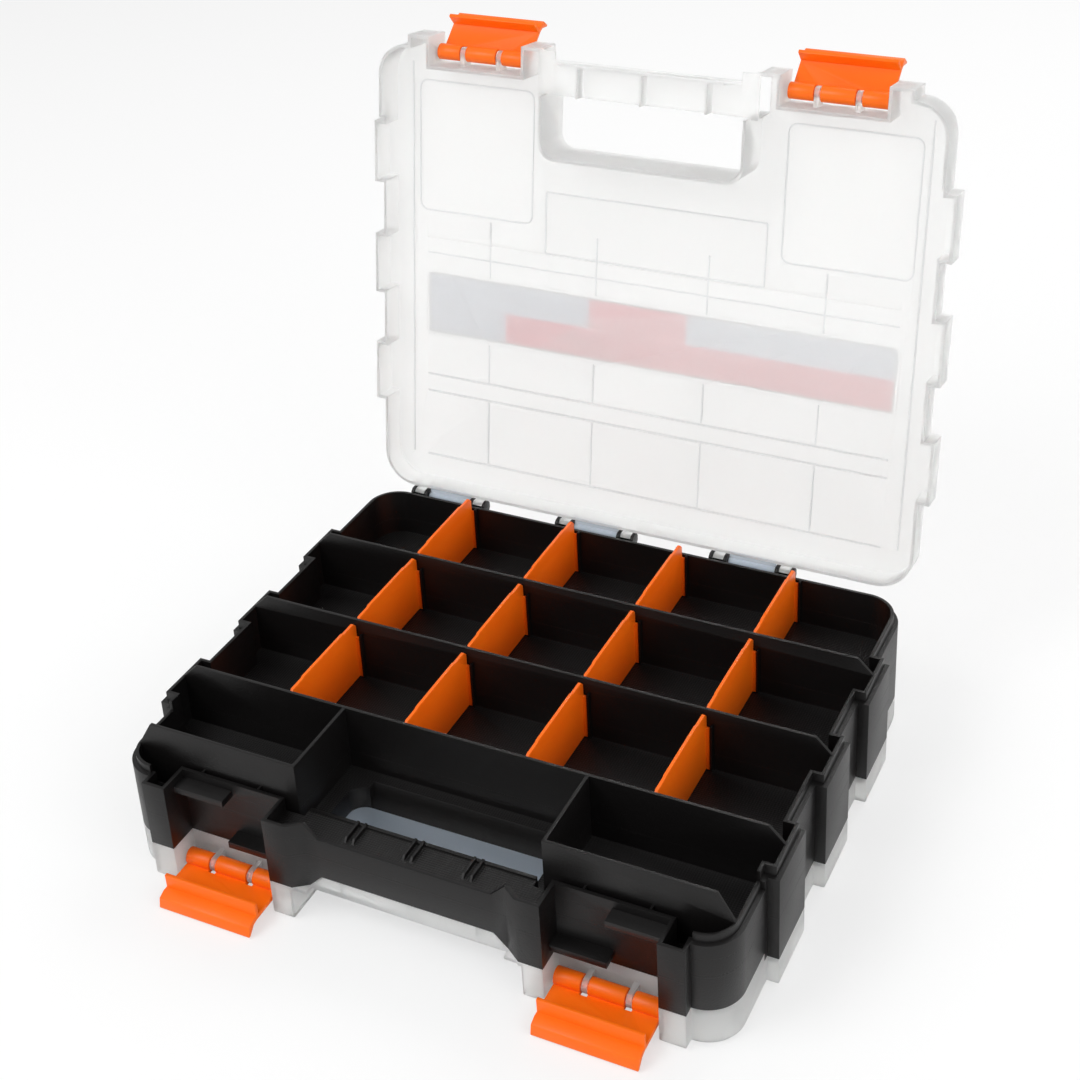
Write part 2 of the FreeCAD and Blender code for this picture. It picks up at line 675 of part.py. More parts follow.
def make_lid():
    """A clear lid, drawn closed on top of a tray whose middle plane is its own."""
    body = new_body("lid")
    rim = "(%s + seat_gap)" % FRONT_RIM
    pad(body, "lid_shell", "XY_Plane", [box_outline("0", "0")], "(front_lid_height - seat_gap)", rim)
    past = "(width / 2 + overrun)"
    low = box_corners("-" + past, "(%s - seat_gap)" % RIM_STEP, past, "(%s + overrun)" % REAR)
    cut(body, "lid_side_rim", "XY_Plane", [low], "(front_lid_height - side_lid_height)", rim)
    inside = box_outline("lid_wall", "lid_wall")
    cut(body, "lid_hollow", "XY_Plane", [inside], "(front_lid_height - seat_gap - lid_panel)", rim)
    add_lid_handle(body)
    add_latch_ribs(body)
    add_fingers(body)
    add_panel_fields(body)
    add_panel_lines(body)
    return body


def add_lid_handle(body):
    """The lowered handle bar of a lid and the collar of its hand hole."""
    low = "(handle_height / 2 + seat_gap)"
    rim = "(%s + seat_gap)" % FRONT_RIM
    top = "(handle_height / 2 + lid_handle)"
    deep = "(box_height / 2 - %s)" % low
    span = "(handle_span / 2 + lid_wall)"
    front = "(%s + lid_wall / 2)" % POST_FRONT
    block = box_corners("-" + span, front, span, "(%s + lid_wall / 2)" % HANDLE_BACK)
    pad(body, "lid_bar", "XY_Plane", [block], "(front_lid_height - seat_gap)", rim)
    collar = window_outline("lid_wall")
    pad(body, "lid_collar", "XY_Plane", [collar], deep, low)
    foot = "(handle_span / 2 - 2 * handle_slope - seat_gap)"
    head = "(handle_span / 2 - handle_slope - seat_gap)"
    apron = both_sides([(foot, low), (head, rim), (head, top)])
    place = "(-(%s) - lid_wall)" % HANDLE_FRONT
    pad(body, "lid_apron", "XZ_Plane", [apron], "lid_wall", place)
    half = "(window_width / 2)"
    dip = box_corners("-" + span, "(%s - overrun)" % POST_FRONT, span, HANDLE_BACK)
    cut(body, "lid_bar_top", "XY_Plane", [dip], "front_lid_height", top)
    before = box_corners("-" + head, "(%s - overrun)" % POST_FRONT, head, HANDLE_FRONT)
    cut(body, "lid_bar_front", "XY_Plane", [before], "box_height", low)
    inner = box_corners("-" + head, "(%s + lid_wall)" % HANDLE_FRONT, head, "(%s - lid_wall)" % HANDLE_BACK)
    depth = "(%s - lid_wall - %s + overrun)" % (top, low)
    cut(body, "bar_hollow", "XY_Plane", [inner], depth, "(%s - overrun)" % low)
    across = box_corners("(%s + lid_wall / 2)" % HANDLE_FRONT, low, "(%s - lid_wall / 2)" % HANDLE_BACK, top)
    pitch = "(grip_pitch + grip_gap / 2 + bar_rib_gap)"
    rib = pad(body, "bar_rib", "YZ_Plane", [across], "bar_rib", "(-%s)" % pitch, symmetric=True)
    pattern(body, "bar_ribs", [rib], "X_Axis", BAR_RIBS, pitch)
    cut(body, "lid_window", "XY_Plane", [window_outline("0")], "box_height", symmetric=True)


def add_latch_ribs(body):
    """Two clear ribs in each bay, bored for the latch."""
    back = "(%s + lid_wall / 2)" % CATCH_WALL
    radius = "(barrel_radius - 2 * seat_gap)"
    rounding = "(%s * round_share)" % radius
    nose = "(%s - %s)" % (PIVOT_Y, radius)
    top = "(%s + %s)" % (PIVOT_Z, radius)
    low = "(%s - %s)" % (PIVOT_Z, radius)
    outline = [(back, low), (nose, low, rounding), (nose, top, rounding), (back, top)]
    bore = [(PIVOT_Y, PIVOT_Z, "(latch_pin + latch_play)")]
    first = "(-%s - latch_rib_place)" % CATCH_MIDDLE
    rib = pad(body, "latch_rib", "YZ_Plane", [outline], "latch_rib", first, True, bore)
    second = ("X_Axis", 2, "(2 * %s)" % CATCH_MIDDLE)
    pattern(body, "latch_ribs", [rib], "X_Axis", 2, "(2 * latch_rib_place)", second)


def add_fingers(body):
    """Hook fingers that grip the tray's hinge pins from above."""
    wall = "(%s - lid_wall / 2)" % REAR
    radius = "(hinge_radius - hinge_play)"
    rounding = "(%s * round_share)" % radius
    near = "(%s - %s)" % (HINGE_Y, radius)
    far = "(%s + %s)" % (HINGE_Y, radius)
    low = "(%s - %s)" % (HINGE_Z, radius)
    outline = [
        (wall, "(%s + lid_wall)" % HINGE_Z),
        (near, "(%s + lid_wall)" % HINGE_Z),
        (near, low, rounding),
        (far, low, rounding),
        (far, "(%s + %s / 2)" % (HINGE_Z, radius)),
        (wall, "(%s + %s * foot_share)" % (HINGE_Z, radius)),
    ]
    bore = [(HINGE_Y, HINGE_Z, "(hinge_pin + hinge_play)")]
    first = "(-station_pitch - station_shift - knuckle_pitch / 2)"
    wide = "(cheek_space - 2 * finger_play)"
    finger = pad(body, "finger", "YZ_Plane", [outline], wide, first, True, bore)
    half = "(hinge_pin * mouth_share)"
    left = "(%s - %s)" % (HINGE_Y, half)
    right = "(%s + %s)" % (HINGE_Y, half)
    mouth = box_corners(left, "(%s - overrun)" % HINGE_Z, right, HINGE_Z)
    gap = cut(body, "finger_mouth", "YZ_Plane", [mouth], "cheek_space", first, True)
    second = ("X_Axis", STATIONS, "station_pitch")
    pattern(body, "fingers", [finger, gap], "X_Axis", 2, "knuckle_pitch", second)


def add_panel_fields(body):
    """A field for the label in the outer face, and three shallow fields inside."""
    across = "(label_length / 2 + label_margin)"
    deep = "(label_depth / 2 + label_margin)"
    field = box_corners("-" + across, "(label_place - %s)" % deep, across, "(label_place + %s)" % deep)
    place = "(%s - label_sink)" % HALF
    cut(body, "label_field", "XY_Plane", [field], "(label_sink + overrun)", place)
    near = "(field_x - field_width / 2)"
    far = "(field_x + field_width / 2)"
    front = "(-field_y - field_depth / 2)"
    rear = "(-field_y + field_depth / 2)"
    corners = [corner + ("field_round",) for corner in box_corners(near, front, far, rear)]
    under = "(%s - lid_panel)" % HALF
    cut(body, "front_fields", "XY_Plane", left_right(corners), "panel_sink", under)
    half = "(mid_field_width / 2)"
    front = "(-mid_field_y - mid_field_depth / 2)"
    rear = "(-mid_field_y + mid_field_depth / 2)"
    middle = box_corners("-" + half, front, half, rear)
    cut(body, "middle_field", "XY_Plane", [middle], "panel_sink", under)


def add_panel_lines(body):
    """Fine lines inside the panel: along the sides, across it, and along the columns."""
    under = "(%s - lid_panel)" % HALF
    edge = "(label_depth / 2)"
    first = "(label_place - %s - line_before)" % edge
    second = "(label_place + %s + line_after)" % edge
    third = "(%s + line_step)" % second
    last = "(label_place + %s + line_rear)" % edge
    reach = "(label_length / 2)"
    lines = [box_corners("-" + reach, y, reach, y + " + line_width") for y in (first, second, third, last)]
    side = "(width / 2 - bump_depth - line_inset)"
    front = "(-field_y - field_depth / 2)"
    lines += left_right(box_corners(side + " - line_width", front, side, last))
    cut(body, "panel_lines", "XY_Plane", lines, "panel_sink", under)
    middle = "(-column_pitch * column_share)"
    left = "(%s - line_width / 2)" % middle
    right = "(%s + line_width / 2)" % middle
    runs = [
        ("(-field_y + field_depth / 2 + line_gap)", "(%s - line_gap)" % first),
        ("(label_place + %s + line_gap)" % edge, "(%s - line_gap)" % second),
        ("(%s + line_gap)" % third, "(%s - line_gap)" % last),
    ]
    marks = [box_corners(left, near, right, far) for near, far in runs]
    mark = cut(body, "column_marks", "XY_Plane", marks, "panel_sink", under)
    pattern(body, "all_column_marks", [mark], "X_Axis", COLUMNS, "column_pitch")


def make_latch():
    """A latch with its pivot at the origin, hanging closed: plate, hook and finger lip."""
    body = new_body("latch")
    front = "(-barrel_radius)"
    back = "(-barrel_radius + latch_plate)"
    inner = "(-barrel_radius + hook_reach)"
    hook_top = "(-(%s - catch_place + hook_gap))" % PIVOT_Z
    hook_low = "(%s - latch_hook)" % hook_top
    tip = "(%s - lip_length)" % hook_low
    knee = "(%s - lip_length * knee_share)" % hook_low
    profile = [
        (front, "0"),
        (front, hook_low),
        ("(%s - lip_flare * bend_share)" % front, knee),
        ("(%s - lip_flare)" % front, "(%s + lip_length * bend_share)" % tip),
        ("(%s - lip_flare)" % front, tip),
        ("(%s - lip_flare * knee_share)" % back, "(%s + lip_length * bend_share)" % tip),
        (back, knee),
        (back, hook_low),
        (inner, hook_low),
        (inner, hook_top),
        (back, hook_top),
        (back, "0"),
    ]
    pad(body, "latch_plate", "YZ_Plane", [profile], "latch_width", symmetric=True)
    round_bar = [("0", "0", "barrel_radius")]
    pad(body, "latch_barrel", "YZ_Plane", [], "latch_width", symmetric=True, circles=round_bar)
    reach = "(barrel_radius + latch_play + seat_gap)"
    slot = [box_corners("-" + reach, "-" + reach, reach, reach)]
    gap = cut(body, "latch_slot", "YZ_Plane", slot, "latch_slot", "(-latch_rib_place)", True)
    pattern(body, "latch_slots", [gap], "X_Axis", 2, "(2 * latch_rib_place)")
    pin = [("0", "0", "latch_pin")]
    long = "(latch_width - 2 * latch_hook)"
    pad(body, "latch_pin", "YZ_Plane", [], long, symmetric=True, circles=pin)
    notch = box_corners("(-hook_notch / 2)", back, "(hook_notch / 2)", "(%s + overrun)" % inner)
    cut(body, "latch_notch", "XY_Plane", [notch], "(latch_hook + seat_gap)", hook_low)
    return body


def make_divider():
    """A divider standing on its origin: thin plate, a flange at each end, a raised crown."""
    body = new_body("divider")
    length = "(row_pitch / 2 - inner_wall / 2 - divider_play)"
    height = "(%s - floor_thick / 2 - divider_play - divider_drop)" % WALL_TOP
    crown = "(%s + divider_crown)" % height
    inner = "(%s - divider_end)" % length
    shoulder = "(%s - 2 * divider_crown)" % inner
    plate = both_sides([(length, "0"), (length, height), (inner, height), (shoulder, crown)])
    pad(body, "divider_plate", "YZ_Plane", [plate], "divider_thick", symmetric=True)
    half = "(flange_width / 2)"
    near = "(%s - flange_thick)" % length
    rear = box_corners("-" + half, near, half, length)
    front = box_corners("-" + half, "-" + near, half, "-" + length)
    pad(body, "divider_flanges", "XY_Plane", [rear, front], height)
    return body


def make_label(placement):
    """The film label in the upper lid's long field."""
    label = doc.addObject("Part::Box", "label_film")
    label.Label = "lid_label"
    label.setExpression("Length", link("label_length"))
    label.setExpression("Width", link("label_depth"))
    label.setExpression("Height", link("label_thick"))
    left = value("-label_length / 2")
    front = value("label_place - label_depth / 2")
    corner = FreeCAD.Vector(left, front, value(HALF + " - label_sink"))
    label.Placement = placement.multiply(FreeCAD.Placement(corner, FreeCAD.Rotation()))
    return label


def turned(angle, y, z):
    """A turn by an angle about a line along X through (y, z)."""
    turn = FreeCAD.Rotation(FreeCAD.Vector(1, 0, 0), angle)
    return FreeCAD.Placement(FreeCAD.Vector(), turn, FreeCAD.Vector(0, y, z))


def divider_places():
    """Row, column and foot of every divider."""
    places = []
    for row in range(ROWS):
        for column in range(COLUMNS):
            x = value("(%d - column_share) * column_pitch" % column)
            y = value("(%d + half_share) * row_pitch - front_row_place" % row)
            places.append(("%d_%d" % (row + 1, column + 1), x, y))
    return places


def make_all():
    """Every sub-part in its place."""
    middle = FreeCAD.Placement(FreeCAD.Vector(0, 0, value(HALF)), FreeCAD.Rotation())
    over = FreeCAD.Rotation(FreeCAD.Vector(0, 1, 0), 180)
    flipped = middle.multiply(FreeCAD.Placement(FreeCAD.Vector(), over))
    opened = middle.multiply(turned(-LID_OPEN_ANGLE, value(HINGE_Y), value(HINGE_Z)))
    items = tray_blocks(make_tray())
    parts = lid_parts(make_lid())
    latch = make_latch()
    divider = make_divider()
    items.append(make_label(opened))
    for level, lid, angle in (("upper", opened, UPPER_LATCH_ANGLE), ("lower", flipped, LOWER_LATCH_ANGLE)):
        for part_name, part in parts.items():
            items.append(placed(part, "%s_lid_%s" % (level, part_name), lid))
        swing = FreeCAD.Rotation(FreeCAD.Vector(1, 0, 0), -angle)
        for side, way in (("left", -1), ("right", 1)):
            across = way * value(CATCH_MIDDLE) * (1 if level == "upper" else -1)
            pivot = FreeCAD.Vector(across, value(PIVOT_Y), value(PIVOT_Z))
            place = lid.multiply(FreeCAD.Placement(pivot, swing))
            items.append(placed(latch, "%s_%s_latch" % (level, side), place))
    foot = value("floor_thick / 2 + divider_play")
    for level, base in (("upper", middle), ("lower", flipped)):
        for spot, x, y in divider_places():
            place = base.multiply(FreeCAD.Placement(FreeCAD.Vector(x, y, foot), FreeCAD.Rotation()))
            items.append(placed(divider, "%s_divider_%s" % (level, spot), place))
    return items


def write_all(items):
    """Check every object, then write one file for each sub-part."""
    doc.recompute()
    for item in doc.Objects:
        if "Invalid" in item.State or "Error" in item.State:
            raise RuntimeError("not built: " + item.Name)
    os.makedirs("parts", exist_ok=True)
    for item in items:
        if item.Shape.isNull() or not item.Shape.isValid() or len(item.Shape.Solids) != 1:
            raise RuntimeError("bad shape: %s, %d solids" % (item.Label, len(item.Shape.Solids)))
        item.Shape.exportStep("parts/%s.step" % item.Label)
        print(item.Label, round(item.Shape.Volume), len(item.Shape.Faces))


write_all(make_all())
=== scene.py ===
# Dresses the double-sided organizer box: moulded black tray, translucent lids,
# orange latches and dividers, a banded label, and a pale studio.
import json
import math

import bpy
from mathutils import Matrix, Vector

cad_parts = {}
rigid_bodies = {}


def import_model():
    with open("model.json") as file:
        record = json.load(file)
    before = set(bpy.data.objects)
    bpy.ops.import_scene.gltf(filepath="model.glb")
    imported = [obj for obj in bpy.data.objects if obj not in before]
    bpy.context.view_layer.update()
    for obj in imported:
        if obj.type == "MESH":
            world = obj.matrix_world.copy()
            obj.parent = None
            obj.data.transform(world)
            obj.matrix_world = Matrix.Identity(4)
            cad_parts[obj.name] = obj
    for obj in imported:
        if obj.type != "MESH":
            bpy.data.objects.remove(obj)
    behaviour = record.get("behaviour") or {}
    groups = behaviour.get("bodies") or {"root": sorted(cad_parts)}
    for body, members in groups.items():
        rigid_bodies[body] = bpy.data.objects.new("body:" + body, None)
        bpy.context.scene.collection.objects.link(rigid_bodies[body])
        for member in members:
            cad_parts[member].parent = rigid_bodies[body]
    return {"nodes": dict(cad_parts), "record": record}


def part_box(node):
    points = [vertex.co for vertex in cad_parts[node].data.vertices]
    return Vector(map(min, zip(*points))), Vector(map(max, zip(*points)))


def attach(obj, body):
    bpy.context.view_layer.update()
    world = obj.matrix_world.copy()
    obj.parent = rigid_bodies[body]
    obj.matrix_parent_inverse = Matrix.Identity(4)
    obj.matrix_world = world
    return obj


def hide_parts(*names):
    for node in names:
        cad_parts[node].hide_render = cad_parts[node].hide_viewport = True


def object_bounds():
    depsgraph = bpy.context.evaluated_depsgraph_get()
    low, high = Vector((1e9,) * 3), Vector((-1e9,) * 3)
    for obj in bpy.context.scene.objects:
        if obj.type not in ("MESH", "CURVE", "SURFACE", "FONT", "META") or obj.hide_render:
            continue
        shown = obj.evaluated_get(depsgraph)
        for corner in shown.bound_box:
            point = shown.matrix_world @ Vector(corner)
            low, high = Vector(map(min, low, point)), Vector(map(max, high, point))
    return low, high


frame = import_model()
cad_low, cad_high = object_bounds()

bl_info = {
    "name": "Organizer box",
    "version": (1, 0, 0),
    "blender": (4, 5, 0),
    "location": "3D View > Sidebar > Organizer",
    "description": "Finishes and studio for a double-sided organizer box",
    "category": "Object",
}

MM = 0.001
LEVELS = ("upper", "lower")
SIDES = ("left", "right")

# The tray's middle height, in mm: its lower side mirrors its upper one there.
MIDDLE_MM = 38.0

# Beads inside a lid's panel, in mm, drawn on the closed upper lid: their width, their
# thickness and the height of the panel's inner face.
BEAD_MM = 0.8
BEAD_THICK_MM = 0.6
PANEL_UNDER_MM = 74.0
# A ring is x, y, x, y and its corners' radius. A line across is its left x and its y, and
# ends as far to the right. Columns are x, and their runs first and last y. The line along
# each side is x, first y and last y.
RINGS = (
    (-139.0, -109.0, -70.0, -36.0, 5.0),
    (70.0, -109.0, 139.0, -36.0, 5.0),
    (-62.5, -56.0, 62.5, -21.0, 1.6),
)
ACROSS = ((-134.0, -12.0), (-134.0, 59.8), (-134.0, 69.8), (-134.0, 108.8))
COLUMNS = (-95.25, -31.75, 31.75, 95.25)
COLUMN_RUNS = ((-34.0, -2.0), (37.0, 59.0), (71.0, 108.0))
SIDE_RUN = (143.0, -118.0, 108.8)

# Bars between a hinge station's two knuckles, in mm, on the closed upper lid, and the
# web that ties each to the lid: how far it reaches and how far it stays inside the bar.
STATIONS = (-113.0, -22.0, 69.0)
TUBE_LENGTH_MM = 26.0
TUBE_RADIUS_MM = 1.8
WEB_REACH_MM = 5.0
WEB_INSET_MM = 0.4

# What is taken off a divider, in mm: the flanges' tops beside the plate, and the corners.
# A cutting tool stands PAST_MM beyond what it cuts.
FLANGE_DROP_MM = 9.0
FLANGE_REACH_MM = 4.0
PLATE_HALF_MM = 0.8
CORNER_CUT_MM = 1.6
CROWN_MM = 0.6
PAST_MM = 1.0
# A divider is thinner than the other mouldings: its edges' rounding is this share of theirs.
DIVIDER_EDGE_SHARE = 0.8

# The outer edge of a lid's panel lies beyond these, in mm: sideways, forwards, rearwards.
OUTER_RIM_MM = (143.5, -115.0, 117.0)

# The collar round the lower lid's hand hole, in mm, where the lids' colour is painted grey-blue as
# shade.
COLLAR_MM = {"X": (-57.0, 57.0), "Y": (-115.0, -77.0), "Z": (0.0, 37.0)}

# The floor of the handle bar's channel as the eye sees it, in mm: its underside and top,
# then the channel and its two runs into the posts as x, y, x, y.
CHANNEL_MM = (43.6, 48.3)
CHANNEL_PARTS_MM = (
    (-58.5, -129.6, 58.5, -114.1),
    (58.3, -133.9, 68.4, -117.9),
    (-68.4, -133.9, -58.3, -117.9),
)

# Small ribs behind the catch walls, in mm, and half the gap in a latch's hook.
RIB_PLACES_MM = (83.0, 114.0)
RIB_ENDS_MM = (-118.6, -115.4)
RIB_TOP_MM = 56.0
RIB_HALF_MM = 0.5
NOTCH_HALF_MM = 3.0

# The tray's patterns, in mm: flow marks, the pitch of the floors' dots, the heights above
# the middle where a floor's dots lie, and how far the bar's dots and the parting line
# reach up and down. Dots and parting line are so many times as deep as the grain.
TRAY_FLOW_MM = 60.0
DOT_PITCH_MM = 1.3
FLOOR_DOTS_MM = (0.9, 1.6)
BAND_HALF_MM = 0.3
RELIEF = 4.0

# The other plastics' patterns, in mm: haze and ripple in the lids, flow marks and grain in
# the orange pieces.
LID_WAVES_MM = (45.0, 9.0)
ORANGE_WAVES_MM = (30.0, 0.9)

# The label's printing, in mm: where its lower band starts, and the block above it.
LOWER_BAND_MM = -86.0
BLOCK_MM = (-36.0, 20.0)

# How clear the lids' plastic is in its three looks, and its index of refraction. The
# plastic's own index is 1.49, and lower here, so that what stands behind a thin wall
# shows in its place.
LID_LOOK = (0.7, 1.16)
BEAD_LOOK = (0.8, 1.05)
BAR_LOOK = (0.3, 1.16)

# Distances in mm below which points are one: in a CAD node, and where a bevel's corners
# meet. A point this near a plane lies on it.
DOUBLED_MM = 0.01
CROWDED_MM = 0.005
ON_PLANE_MM = 0.01
# Angles in degrees: up to the first a face is flat, beyond the next an edge is rounded on
# a moulding and on a small added piece, and beyond the last it looks sharp.
FLAT_DEG = 1
MOULD_DEG = 40
ADDED_DEG = 30
SHARP_DEG = 35
# The rounding of a small added piece, in mm.
ADDED_EDGE_MM = 0.12

# The studio, in metres: the floor's place below the box, and each lamp's place, its size
# and the setting that holds its power. All lamps point at LAMP_AIM.
FLOOR_GAP = 0.0004
LAMP_AIM = (0, 0, 0.08)
LAMPS = (
    ("key_lamp", (-0.9, -1.1, 1.5), 1.0, "key_power"),
    ("fill_lamp", (1.3, -0.5, 1.0), 1.2, "fill_power"),
    ("rim_lamp", (0.2, 1.3, 1.3), 1.0, "fill_power"),
)
# The share of white that the camera sees on the floor; the rest keeps the shadow.
FLOOR_GLOW = 0.55

# The photograph's camera, fitted to the model: focal length and principal point in
# pixels of a 1080 pixel frame, then the camera's axes as rows (right, down, forward).
FRAME_PIXELS = 1080
FOCAL_PIXELS = 1909.5
CENTRE_PIXELS = (532.0, 340.0)
SENSOR_MM = 36.0
CAMERA_PLACE = (0.35973, -0.66967, 0.64064)
CAMERA_RIGHT = (0.8983234, 0.4363321, -0.0512786)
CAMERA_DOWN = (0.1601433, -0.4339006, -0.8866140)
CAMERA_FORWARD = (-0.4091078, 0.7882542, -0.4596588)


def linear(code):
    """A linear colour from an sRGB hex value such as 'ff6a00'."""
    parts = [int(code[i:i + 2], 16) / 255 for i in (0, 2, 4)]
    parts = [c / 12.92 if c <= 0.04045 else ((c + 0.055) / 1.055) ** 2.4 for c in parts]
    return (*parts, 1.0)


def add_node(tree, kind, settings=None, links=None):
    """One shader node. Settings name a socket or a property, links a socket and its source."""
    made = tree.nodes.new(kind)
    for key, value in (settings or {}).items():
        if isinstance(key, int) or key in made.inputs:
            made.inputs[key].default_value = value
        else:
            setattr(made, key, value)
    for key, source in (links or {}).items():
        tree.links.new(source, made.inputs[key])
    return made


def fresh_material(name):
    """An empty material and its node tree."""
    made = bpy.data.materials.new(name)
    made.use_nodes = True
    made.node_tree.nodes.clear()
    return made, made.node_tree


def within(tree, *limits):
    """One where every value lies between its first and its last limit, else zero."""
    mask = None
    for source, first, last in limits:
        for way, limit in (("GREATER_THAN", first), ("LESS_THAN", last)):
            test = add_node(tree, "ShaderNodeMath", {"operation": way, 1: limit}, {0: source})
            if mask:
                test = add_node(
                    tree, "ShaderNodeMath", {"operation": "MULTIPLY"}, {0: mask, 1: test.outputs[0]}
                )
            mask = test.outputs[0]
    return mask


def background_rays(tree):
    """One on rays that the camera sends straight or through clear plastic, else zero."""
    path = add_node(tree, "ShaderNodeLightPath")
    seen = add_node(
        tree,
        "ShaderNodeMath",
        {"operation": "MAXIMUM"},
        {0: path.outputs["Is Camera Ray"], 1: path.outputs["Is Transmission Ray"]},
    )
    return seen.outputs[0]


def black_polypropylene(colour, grain):
    """Injection-moulded black polypropylene from a spark-eroded mould: a leathery grain."""
    made, tree = fresh_material("black_polypropylene_moulded")
    place = add_node(tree, "ShaderNodeTexCoord").outputs["Object"]
    # the real grain is about 0.4 mm; it is drawn coarser so that it shows
    grit = add_node(
        tree, "ShaderNodeTexNoise", {"Scale": 1 / grain, "Detail": 3.0}, {"Vector": place}
    )
    flow = add_node(
        tree,
        "ShaderNodeTexNoise",
        {"Scale": 1 / (TRAY_FLOW_MM * MM), "Detail": 2.0},
        {"Vector": place},
    )
    tint = add_node(
        tree,
        "ShaderNodeMix",
        {"data_type": "RGBA", "A": linear(colour), "B": linear("100e0e")},
        {"Factor": flow.outputs["Fac"]},
    )
    gloss = add_node(
        tree, "ShaderNodeMapRange", {"To Min": 0.3, "To Max": 0.44}, {"Value": grit.outputs["Fac"]}
    )
    # the floors carry a fine grid of raised dots, and the mould parts half way up
    dots = add_node(
        tree,
        "ShaderNodeTexVoronoi",
        {"Scale": 1 / (DOT_PITCH_MM * MM), "Randomness": 0.0},
        {"Vector": place},
    )
    height = add_node(tree, "ShaderNodeSeparateXYZ", {}, {"Vector": place}).outputs["Z"]
    floor = within(tree, (height, *((MIDDLE_MM + z) * MM for z in FLOOR_DOTS_MM)))
    bar, parting = (
        within(tree, (height, (middle - BAND_HALF_MM) * MM, (middle + BAND_HALF_MM) * MM))
        for middle in (CHANNEL_MM[1], MIDDLE_MM)
    )
    dotty = add_node(tree, "ShaderNodeMath", {"operation": "MAXIMUM"}, {0: floor, 1: bar})
    dotted = add_node(
        tree,
        "ShaderNodeMath",
        {"operation": "MULTIPLY"},
        {0: dotty.outputs[0], 1: dots.outputs["Distance"]},
    )
    surface = grit.outputs["Fac"]
    for mark in (dotted.outputs[0], parting):
        deep = add_node(tree, "ShaderNodeMath", {"operation": "MULTIPLY", 1: RELIEF}, {0: mark})
        surface = add_node(
            tree, "ShaderNodeMath", {"operation": "SUBTRACT"}, {0: surface, 1: deep.outputs[0]}
        ).outputs[0]
    dent = add_node(
        tree, "ShaderNodeBump", {"Strength": 0.35, "Distance": 0.25 * MM}, {"Height": surface}
    )
    skin = add_node(
        tree,
        "ShaderNodeBsdfPrincipled",
        {"IOR": 1.49, "Specular IOR Level": 0.36},
        {
            "Base Color": tint.outputs["Result"],
            "Roughness": gloss.outputs["Result"],
            "Normal": dent.outputs["Normal"],
        },
    )
    add_node(tree, "ShaderNodeOutputMaterial", {}, {"Surface": skin.outputs["BSDF"]})
    return made


def natural_polypropylene(name, colour, look):
    """Uncoloured translucent polypropylene: milky, a soft gloss outside, faint flow marks, and
    painted shade on the lower lid's collar.
    """
    made, tree = fresh_material(name)
    place = add_node(tree, "ShaderNodeTexCoord").outputs["Object"]
    clearness, index = look
    haze, ripple = (
        add_node(
            tree, "ShaderNodeTexNoise", {"Scale": 1 / (wave * MM), "Detail": 2.0}, {"Vector": place}
        )
        for wave in LID_WAVES_MM
    )
    gloss = add_node(
        tree, "ShaderNodeMapRange", {"To Min": 0.34, "To Max": 0.46}, {"Value": haze.outputs["Fac"]}
    )
    dent = add_node(
        tree,
        "ShaderNodeBump",
        {"Strength": 0.1, "Distance": 0.2 * MM},
        {"Height": ripple.outputs["Fac"]},
    )
    # painted shade: the lower lid's collar stands between black walls, and its colour is mixed
    # towards grey-blue as painted shade and painted reflection of those walls
    split = add_node(tree, "ShaderNodeSeparateXYZ", {}, {"Vector": place})
    limits = COLLAR_MM.items()
    collar_painted_shade = within(tree, *((split.outputs[axis], a * MM, b * MM) for axis, (a, b) in limits))
    tint = add_node(
        tree,
        "ShaderNodeMix",
        {"data_type": "RGBA", "A": linear(colour), "B": linear("ccd6e2")},
        {"Factor": collar_painted_shade},
    )
    skin = add_node(
        tree,
        "ShaderNodeBsdfPrincipled",
        {
            "IOR": index,
            "Transmission Weight": clearness,
            "Specular IOR Level": 0.5,
            "Subsurface Weight": 0.8,
            "Subsurface Scale": 6 * MM,
            "Subsurface Radius": (1.0, 0.94, 0.95),
        },
        {
            "Base Color": tint.outputs["Result"],
            "Roughness": gloss.outputs["Result"],
            "Normal": dent.outputs["Normal"],
        },
    )
    add_node(tree, "ShaderNodeOutputMaterial", {}, {"Surface": skin.outputs["BSDF"]})
    return made


def orange_polypropylene(colour):
    """Orange moulded polypropylene: satin, slightly waxy, deeper where it is thick."""
    made, tree = fresh_material("orange_polypropylene_moulded")
    place = add_node(tree, "ShaderNodeTexCoord").outputs["Object"]
    flow, grit = (
        add_node(
            tree, "ShaderNodeTexNoise", {"Scale": 1 / (wave * MM), "Detail": 2.0}, {"Vector": place}
        )
        for wave in ORANGE_WAVES_MM
    )
    tint = add_node(
        tree,
        "ShaderNodeMix",
        {"data_type": "RGBA", "A": linear(colour), "B": linear("fd680a")},
        {"Factor": flow.outputs["Fac"]},
    )
    gloss = add_node(
        tree, "ShaderNodeMapRange", {"To Min": 0.3, "To Max": 0.42}, {"Value": grit.outputs["Fac"]}
    )
    dent = add_node(
        tree,
        "ShaderNodeBump",
        {"Strength": 0.12, "Distance": 0.1 * MM},
        {"Height": grit.outputs["Fac"]},
    )
    skin = add_node(
        tree,
        "ShaderNodeBsdfPrincipled",
        {
            "IOR": 1.49,
            "Specular IOR Level": 0.3,
            "Subsurface Weight": 0.08,
            "Subsurface Scale": 4 * MM,
        },
        {
            "Base Color": tint.outputs["Result"],
            "Roughness": gloss.outputs["Result"],
            "Normal": dent.outputs["Normal"],
        },
    )
    add_node(tree, "ShaderNodeOutputMaterial", {}, {"Surface": skin.outputs["BSDF"]})
    return made


